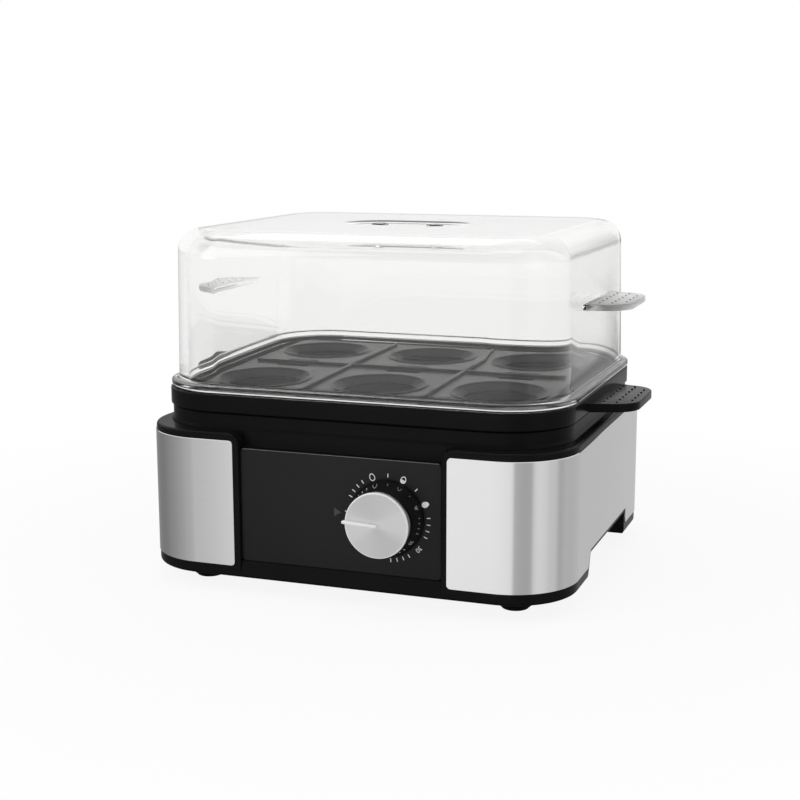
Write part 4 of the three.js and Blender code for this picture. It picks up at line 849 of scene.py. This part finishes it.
def deckForm(foot, top, plateau, gutter):
    # one section round the plan, from the deck's underside over the spigot, skirt and gutter to the deck
    t = tray
    under, lower, spigotFoot = gutter - t["plate"], plateau - t["plate"], foot - t["spigotDrop"]
    edge, thick, w = t["edge"], t["plate"], t["spigotWall"]
    low, high, inner = t["footRound"], t["topRound"], t["innerRound"]
    bend, heel = t["gutterRound"], t["plateauFoot"]
    skirt = np.array(t["rimPlan"]) + t["skirtWall"]
    rings = [around(t["plateau"], [[-thick - 0.4, lower], [-thick, lower], [-thick, under]]),
             around(t["spigotPlan"], [[-w, under], [-w, spigotFoot + edge], [edge - w, spigotFoot],
                                      [-edge, spigotFoot], [0, spigotFoot + edge], [0, under]]),
             around(t["rimPlan"], [[0, under], [0, foot + edge], [edge, foot]]),
             around(skirt, arc(-low, foot + low, low, -90, 0, 4) + arc(-high, top - high, high, 0, 90, 5)),
             around(t["rimPlan"], arc(inner, top - inner, inner, 90, 180, 3)
                    + arc(-bend, gutter + bend, bend, 0, -90, 5)),
             around(t["plateau"], arc(heel + t["draft"], gutter + heel, heel, -90, -180, 4)
                    + [[t["draft"] / 2, plateau - high - 0.1]] + arc(-high, plateau - high, high, 0, 90, 5)
                    + [[-high - 0.3, plateau], [-2 * high, plateau]])]
    return form(ringGrid(np.concatenate(rings), 20))


def cupGrid(plateau):
    # an egg's seat, turned: a cone down to the open middle, with a rounded lip over the deck
    t = tray
    seat, cup, wall, edge, r = t["seatRadius"], t["cupRadius"], t["cupWall"], t["edge"], t["cupRound"]
    floor, lip, out = plateau - t["cupDepth"], plateau + t["lip"], cup + wall
    profile = [[seat + edge, floor], [seat + wall, floor], [out, plateau - t["plate"]], [out, lip - edge]]
    profile += arc(out - r, lip - r, r, 0, 90, 3) + arc(cup + r, lip - r, r, 90, 180, 3)
    profile += between([cup, plateau], [seat + edge, floor + wall], 0.12)
    profile += arc(seat + edge, floor + wall - edge, edge, 120, 180, 2)[1:] + [[seat, floor + edge]]
    return turnedGrid(profile, 72)


def ribForms(plateau):
    # a long rib between the two rows of seats and four short ones between the columns
    t = tray
    half = t["ribWidth"] / 2
    bars = [(-t["ribX"], -half, t["ribX"], half)]
    for x in (t["columns"][0] / 2, t["columns"][2] / 2):
        bars += [(x - half, low, x + half, high) for low, high in ((-t["ribY"], -half), (half, t["ribY"]))]
    low, high = plateau - t["ribSink"], plateau + t["ribHeight"]
    return [form(prismGrid(roundedLoop(*bar, t["ribEnd"], 3), low, high, t["ribRound"])) for bar in bars]


def makeTray():
    # the deck, with round mouths cut for the cups and steam slots between them
    t = tray
    foot, top = t["foot"], t["foot"] + t["skirtHeight"]
    plateau = top - t["plateauDrop"]
    thing = meshOf("tray_moulding", [deckForm(foot, top, plateau, top - t["gutterDrop"])])
    mouth = t["cupRadius"] + t["mouthGap"]
    mouth = turnedGrid([[mouth, foot - past], [mouth, top + past]], 72)
    length, width = (size / 2 for size in t["slot"])
    slot = prismGrid(roundedLoop(-length, -width, length, width, width - 0.01, 8), foot - past, top + past)
    seats = [(x, y, 0) for x in t["columns"] for y in t["rows"]]
    slots = [(x, side * t["slotY"], 0) for x in t["columns"] for side in (-1, 1)]
    combine(thing, [form(mouth, at=at) for at in seats] + [form(slot, at=at) for at in slots], "DIFFERENCE")
    cup = cupGrid(plateau)
    tab, pips = tabForms(t, t["rimPlan"][0] + t["skirtWall"], t["rimPlan"][0] + t["tabRoot"], foot)
    cups = [form(cup, closeRows=True, at=at) for at in seats]
    addMesh(thing, meshData("parts", cups + ribForms(plateau) + bothSides([tab, *pips])))
    toMiddle(thing)
    settle(thing, finishes["trayPlastic"], "black_plastic", "tray", "egg_tray")


makeTray()
print("scene: tray made")


# Lid

lid = {"plan": (81.0, 68.2, 25.0), "topPlan": (79.7, 67.8, 23.7), "seat": lowOf("lid")[2] + 2.0,
       "top": highOf("lid")[2], "wall": 2.0, "fillet": 9.0, "frontAdd": 2.0, "edge": 0.3, "spigot": 2.0,
       "flange": 3.0, "flangeHeight": 2.6, "flangeRound": 0.9, "rollRound": 0.8,
       "shelf": ((1.6, 2.35), (1.5, 2.3)), "shelfRound": 1.2, "recess": (25.0, 13.0, 13.0), "recessDepth": 0.75,
       "flank": (-2.0, 2.0), "flankRows": (2, 1.2), "ventX": 12.0, "ventRadius": 2.4, "lipRadius": 3.5,
       "lipHeight": 0.6, "lipSide": (-1.0, 0.4), "lipRound": 0.3, "tabRoot": -1.9, "tabThickness": 2.4,
       "tabReach": 16.2, "pipPitch": 6.6, "pips": ((3.8, 6), (8.7, 6), (13.1, 4))}


def lidForm(seat, top, floor):
    # one section round the plan: from the middle of the recess's underside, down the inner skin,
    # round the flange and up the outer one
    d = lid
    wall, r, edge, flange = d["wall"], d["fillet"], d["edge"], d["flange"]
    plan, topPlan, recess = np.array(d["plan"]), np.array(d["topPlan"]), np.array(d["recess"])
    ceiling, foot = top - wall, seat - d["spigot"]
    small, roll, cove = d["flangeRound"], d["rollRound"], d["shelfRound"]
    # both faces of the recess's flank follow one S curve, so the light passes almost unbent
    (near, far), (before, after) = d["flank"], d["flankRows"]
    rise = np.linspace(0, 1, 11)
    flank = np.stack([near + (far - near) * rise, floor + d["recessDepth"] * rise * rise * (3 - 2 * rise)], -1)
    rings = [around(recess, [[near - before, floor - wall], *(flank - [0, wall]), [far + after, ceiling]]),
             around(topPlan - wall, [[-r - 1.2, ceiling], [-r - 0.2, ceiling]]
                    + arc(-r, ceiling - r, r, 90, 0, 14)),
             around(plan - wall, [[0, seat + 1.0], [0, foot + edge], [edge, foot]]),
             around(plan, [[-edge, foot], [0, foot + edge], [0, seat]]),
             around(plan, arc(flange - small, seat + small, small, -90, 0, 4)
                    + arc(flange - roll, seat + d["flangeHeight"] - roll, roll, 0, 90, 4)
                    + [[out, seat + up] for out, up in d["shelf"]]
                    + arc(cove, seat + d["shelf"][1][1] + cove, cove, -90, -180, 5)),
             around(topPlan, arc(-r, top - r, r, 0, 90, 14) + [[-r - 0.3, top], [-r - 1.5, top]]),
             around(recess, [[far + after, top], *flank[::-1], [near - before, floor]])]
    # the rear corners keep an even wall. The front ones are a little rounder inside, and the fillet keeps
    # its radius there, so that no bend traps light
    rounder = np.repeat([0, d["frontAdd"], d["frontAdd"], 0, 0, 0, 0], [len(ring) for ring in rings])
    return form(ringGrid(np.concatenate(rings), 28, rounder))


def makeLid():
    # a clear shell, two tabs with their pips, and two vents: a low ring and a hole through it
    d = lid
    top, floor = d["top"], d["top"] - d["recessDepth"]
    thing = meshOf("lid_moulding", [lidForm(d["seat"], top, floor)])
    tab, pips = tabForms(d, d["plan"][0], d["plan"][0] + d["tabRoot"], lidTabTop - d["tabThickness"])
    combine(thing, bothSides([tab]), "UNION")
    combine(thing, bothSides(pips), "UNION")
    out, r, tip = d["lipRadius"], d["lipRound"], floor + d["lipHeight"]
    side = [[out, floor + rise] for rise in d["lipSide"]]
    lip = turnedGrid(side + arc(out - r, tip - r, r, 0, 90, 3), 40)
    hole = turnedGrid([[d["ventRadius"], floor - past], [d["ventRadius"], floor + past]], 40)
    for shape, operation in ((lip, "UNION"), (hole, "DIFFERENCE")):
        combine(thing, [form(shape, at=(side * d["ventX"], 0, 0)) for side in (-1, 1)], operation)
    toMiddle(thing)
    settle(thing, finishes["lidPlastic"], "clear_plastic", "lid", "lid", sharp=38)


makeLid()
print("scene: lid made")


# Bowl, feet and the fittings that keep their own shape

bowl = {"throat": (75.2, 64.4, 19.2), "rim": (79.2, 68.4, 23.2), "lean": 2.0, "thickness": 1.2, "fillet": 4.0,
        "low": lowOf("heating_bowl")[2], "high": highOf("heating_bowl")[2], "bead": 0.4, "edge": 0.3,
        "lipRound": 0.8}
foot = {"tip": 5.4, "tipRound": 0.8, "belly": ((6.4, 1.4), (7.3, 2.5), (8.1, 3.8), (8.4, 4.8), (8.4, 8.4)),
        "groove": ((2.6, 8.4), (2.6, 11.4)), "bulb": ((3.8, 11.4), (2.6, 14.6), (0.3, 14.6))}


def makeBowl():
    # one section round the plan: outer skin from the floor up, the rim, and the inner skin back down
    b = bowl
    floorPlan = np.array(b["throat"]) - b["lean"]
    r, t, low, high = b["fillet"], b["thickness"], b["low"], b["high"]
    bead, edge, lip = b["bead"], b["edge"], b["lipRound"]
    rings = [around(floorPlan, [[-r - t - 2, low]] + arc(-r - t, low + r + t, r + t, -90, 0, 8)),
             around(b["throat"], [[0, high - t - bead], [bead, high - t]]),
             around(b["rim"], [[-edge, high - t], [0, high - t + edge], [0, high - edge], [-edge, high]]),
             around(b["throat"], arc(-t + lip, high - lip, lip, 90, 180, 3)),
             around(floorPlan, arc(-t - r, low + t + r, r, 0, -90, 8) + [[-t - r - 2, low + t]])]
    thing = meshOf("coated_bowl", [form(ringGrid(np.concatenate(rings), 20))])
    toMiddle(thing)
    settle(thing, finishes["bowlCoat"], "coated_aluminium", "base", "heating_bowl")


def makeFeet():
    # turned rubber feet: a bellied pad, a groove that grips the cover's edge and a bulb above it
    tip, r = foot["tip"], foot["tipRound"]
    profile = arc(tip - r, r, r, -90, -20, 4) + [*foot["belly"], *foot["groove"], *foot["bulb"]]
    for node in [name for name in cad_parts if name.startswith("foot_")]:
        x, y, _ = middleOf(node)
        thing = meshOf(node.replace("foot_", "rubber_foot_"), [form(turnedGrid(profile, 64), at=(x, y, 0))])
        settle(thing, finishes["rubber"], "black_rubber", "base", node)


def dressFittings():
    # fittings keep the model's shape; each finish goes to the nodes with one of these words in their names
    dress = {"housingAbs": ["bottom_cover"], "silicone": ["bowl_gasket"], "heaterSteel": ["heating_element"],
             "ceramic": ["thermostat", "thermal_fuse"], "cream": ["timer_case", "terminal_block"],
             "bellSteel": ["timer_bell"], "rubber": ["cord_gland"], "sleeve": ["lead_"],
             "zinc": ["timer_shaft", "bowl_stud", "heater_clamp", "clamp_nut", "bell_nut", "_screw_"]}
    for finish, words in dress.items():
        for thing in [thing for name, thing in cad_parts.items() if any(word in name for word in words)]:
            thing.data.materials.clear()
            thing.data.materials.append(finishes[finish])


makeBowl()
makeFeet()
dressFittings()
print("scene: bowl, feet and fittings made")


# Studio: camera, floor, lamps and world

camera = {"place": (207.639, -574.225, 181.839), "right": (0.939899758, 0.341441917, -0.002421387),
          "up": (-0.061227159, 0.175510317, 0.982571811), "back": (0.335916181, -0.923370752, 0.185867623),
          "lens": 66.913}
lamps = {
    "left softbox": {"place": (-0.75, -0.65, 0.55), "size": (0.7, 0.9), "power": 4.4},
    "right softbox": {"place": (0.85, -0.35, 0.5), "size": (0.6, 0.9), "power": 1.0},
    "overhead softbox": {"place": (0.0, 0.1, 1.0), "size": (1.0, 0.9), "power": 3.0},
}
lampTarget = (0, 0, 0.07)
# Brightness of the cards round the table, by the direction from the object in degrees from +X. Above
# the cards the front of the room is darker by the share "over", and a bright soft strip hangs overhead
drum = {"radius": 0.3, "low": -0.12, "high": 0.12, "top": 0.3, "over": 0.2, "floorTone": "#6a6a6a", "tones": (
    (-180, "#828282"), (-170, "#868686"), (-160, "#929292"), (-151, "#9b9b9b"), (-144, "#a4a4a4"),
    (-138, "#ababab"), (-132, "#b5b5b5"), (-126, "#bababa"), (-121.5, "#c6c6c6"), (-119, "#d8d8d8"),
    (-117, "#e8e8e8"), (-108, "#fdfdfd"), (-96, "#ffffff"), (-80, "#fafafa"), (-68, "#f4f4f4"),
    (-64.5, "#efefef"), (-62, "#bebdbc"), (-55, "#b6b5b4"), (-49, "#b2b1b0"), (-42, "#b6b5b4"),
    (-39.5, "#dadad9"), (-34, "#e6e6e5"), (-25, "#e1e1e0"), (-19, "#d4d4d3"), (-10, "#d0d0cf"),
    (-5, "#b8b7b6"), (-2, "#b4b3b2"), (8, "#c1c1c0"), (20, "#bebebd"), (37, "#c2c2c1"), (60, "#c4c4c3"),
    (90, "#e0e0e0"), (120, "#d8d8d8"), (135, "#a8a8a8"), (150, "#9c9c9c"), (165, "#888888"), (180, "#828282"))}
strip = {"place": (-0.36, 0.02, 1.0), "half": (0.34, 0.2), "tone": 5.5}


def makeCamera():
    # recovered from the photo: its three axes and its place, in the model's frame
    data = bpy.data.cameras.new("camera")
    data.lens, data.sensor_width = camera["lens"], 36
    data.clip_start, data.clip_end = 0.01, 50
    thing = addObject("camera", data)
    axes = np.eye(4)
    axes[:3, 0], axes[:3, 1], axes[:3, 2] = camera["right"], camera["up"], camera["back"]
    axes[:3, 3] = np.array(camera["place"]) * millimetre
    thing.matrix_world = Matrix(axes.tolist())
    scene.camera = thing


def stageMesh(name, points, faces, finish):
    # a mesh of the studio, in metres
    mesh = bpy.data.meshes.new(name)
    mesh.from_pydata(points, [], faces)
    mesh.materials.append(finish)
    thing = addObject(name, mesh)
    return thing


def seenPlain(tree):
    # one for rays that show the background: straight to the camera, in metal, or through the lid
    path = addNode(tree, "LightPath")
    direct = addNode(tree, "Math", {0: path.outputs["Is Camera Ray"], 1: path.outputs["Is Transmission Ray"]},
                     operation="MAXIMUM")
    return addNode(tree, "Math", {0: direct, 1: path.outputs["Is Glossy Ray"]}, operation="MAXIMUM")


def makeFloor():
    # pale matt sweep: seen plain white far off, and near the object it still takes the shadow
    made, tree = startFinish("white_sweep")
    matt = addNode(tree, "BsdfDiffuse", {"Color": colour("#f2f2f2")})
    white = addNode(tree, "Emission", {"Color": (1, 1, 1, 1), "Strength": 1.0})
    distance = addNode(tree, "VectorMath", {0: objectPoint(tree)}, operation="LENGTH").outputs["Value"]
    share = addNode(tree, "MapRange", {"Value": distance, "From Min": 0.1, "From Max": 0.36, "To Min": 0.9,
                                       "To Max": 1.0}, interpolation_type="SMOOTHSTEP")
    plain = addNode(tree, "Math", {0: seenPlain(tree), 1: share}, operation="MULTIPLY")
    endFinish(tree, addNode(tree, "MixShader", {0: plain, 1: matt, 2: white}))
    sweep = stageMesh("sweep", [(-6, -6, 0), (6, -6, 0), (6, 6, 0), (-6, 6, 0)], [(0, 1, 2, 3)], made)
    sweep.visible_glossy = False  # shiny parts see the ring of cards instead


def setTones(thing, tones):
    # a grey for each point, and only reflections see the piece
    layer = thing.data.color_attributes.new("tone", "FLOAT_COLOR", "POINT")
    layer.data.foreach_set("color", np.column_stack([tones, tones, tones, np.ones(len(tones))]).ravel())
    thing.visible_camera = thing.visible_diffuse = thing.visible_transmission = thing.visible_shadow = False


def makeDrum():
    # ring of cards close round the table, seen only in reflections: it gives the steel its bands
    made, tree = startFinish("studio_cards")
    tone = addNode(tree, "Attribute", attribute_name="tone")
    endFinish(tree, addNode(tree, "Emission", {"Color": tone, "Strength": 1.0}))
    count = 360
    angle = np.radians(np.arange(count) * 360 / count - 180)
    level = np.interp(np.degrees(angle), [a for a, _ in drum["tones"]], [colour(t)[0] for _, t in drum["tones"]])
    circle = np.stack([drum["radius"] * np.cos(angle), drum["radius"] * np.sin(angle)], -1)
    rise = (drum["low"], drum["high"], drum["high"] + 0.01, drum["top"])
    rows = [np.column_stack([circle, np.full(count, z)]) for z in rise]
    step = np.arange(count)
    after = (step + 1) % count
    faces = [np.stack([step + k, after + k, after + k + count, step + k + count], -1).tolist()
             for k in (0, count, 2 * count)]
    disc = [(step + 4 * count).tolist()]
    thing = stageMesh("studio_cards", np.concatenate([*rows, rows[0]]).tolist(), sum(faces, []) + disc, made)
    front = np.clip((-np.sin(angle) - 0.5) * 5, 0, 1)  # one in front of the table, none at its sides and back
    over = 1 - front * (1 - drum["over"])
    setTones(thing, np.concatenate([level, level, over, over, np.full(count, colour(drum["floorTone"])[0])]))

    # the strip fades to the room's own white at its edges, as a raised cosine of the place along each side
    steps = 25
    u = np.linspace(-1, 1, steps)
    x, y = np.meshgrid(u * strip["half"][0] + strip["place"][0], u * strip["half"][1] + strip["place"][1])
    fade = (0.5 + 0.5 * np.cos(np.pi * u))[:, None] * (0.5 + 0.5 * np.cos(np.pi * u))
    points = np.stack([x, y, np.full(x.shape, strip["place"][2])], -1).reshape(-1, 3)
    cell = (np.arange(steps - 1)[:, None] * steps + np.arange(steps - 1)).ravel()
    quads = np.stack([cell, cell + steps, cell + steps + 1, cell + 1], -1)
    hanging = stageMesh("overhead_strip", points.tolist(), quads.tolist(), made)
    setTones(hanging, (1 + (strip["tone"] - 1) * fade).ravel())


def makeWorld():
    # even grey light, shown as plain white
    world = bpy.data.worlds.new("studio")
    world.use_nodes = True
    tree = world.node_tree
    tree.nodes.clear()
    room = addNode(tree, "Background", {"Color": (1, 1, 1, 1), "Strength": 0.42})
    white = addNode(tree, "Background", {"Color": (1, 1, 1, 1), "Strength": 1.0})
    addNode(tree, "OutputWorld", {"Surface": addNode(tree, "MixShader", {0: seenPlain(tree), 1: room, 2: white})})
    scene.world = world


def makeLamps():
    # soft rectangles of light, each turned to the middle of the object
    for name, lamp in lamps.items():
        data = bpy.data.lights.new(name, "AREA")
        data.shape, data.energy = "RECTANGLE", lamp["power"]
        data.size, data.size_y = lamp["size"]
        thing = addObject(name, data)
        thing.location = lamp["place"]
        aim = Vector(lampTarget) - thing.location
        thing.rotation_euler = aim.to_track_quat("-Z", "Y").to_euler()
        thing.visible_glossy = False  # shiny parts see the cards and the strip


makeCamera()
makeFloor()
makeDrum()
makeWorld()
makeLamps()
scene.view_settings.view_transform = "Standard"
print("scene: studio made")
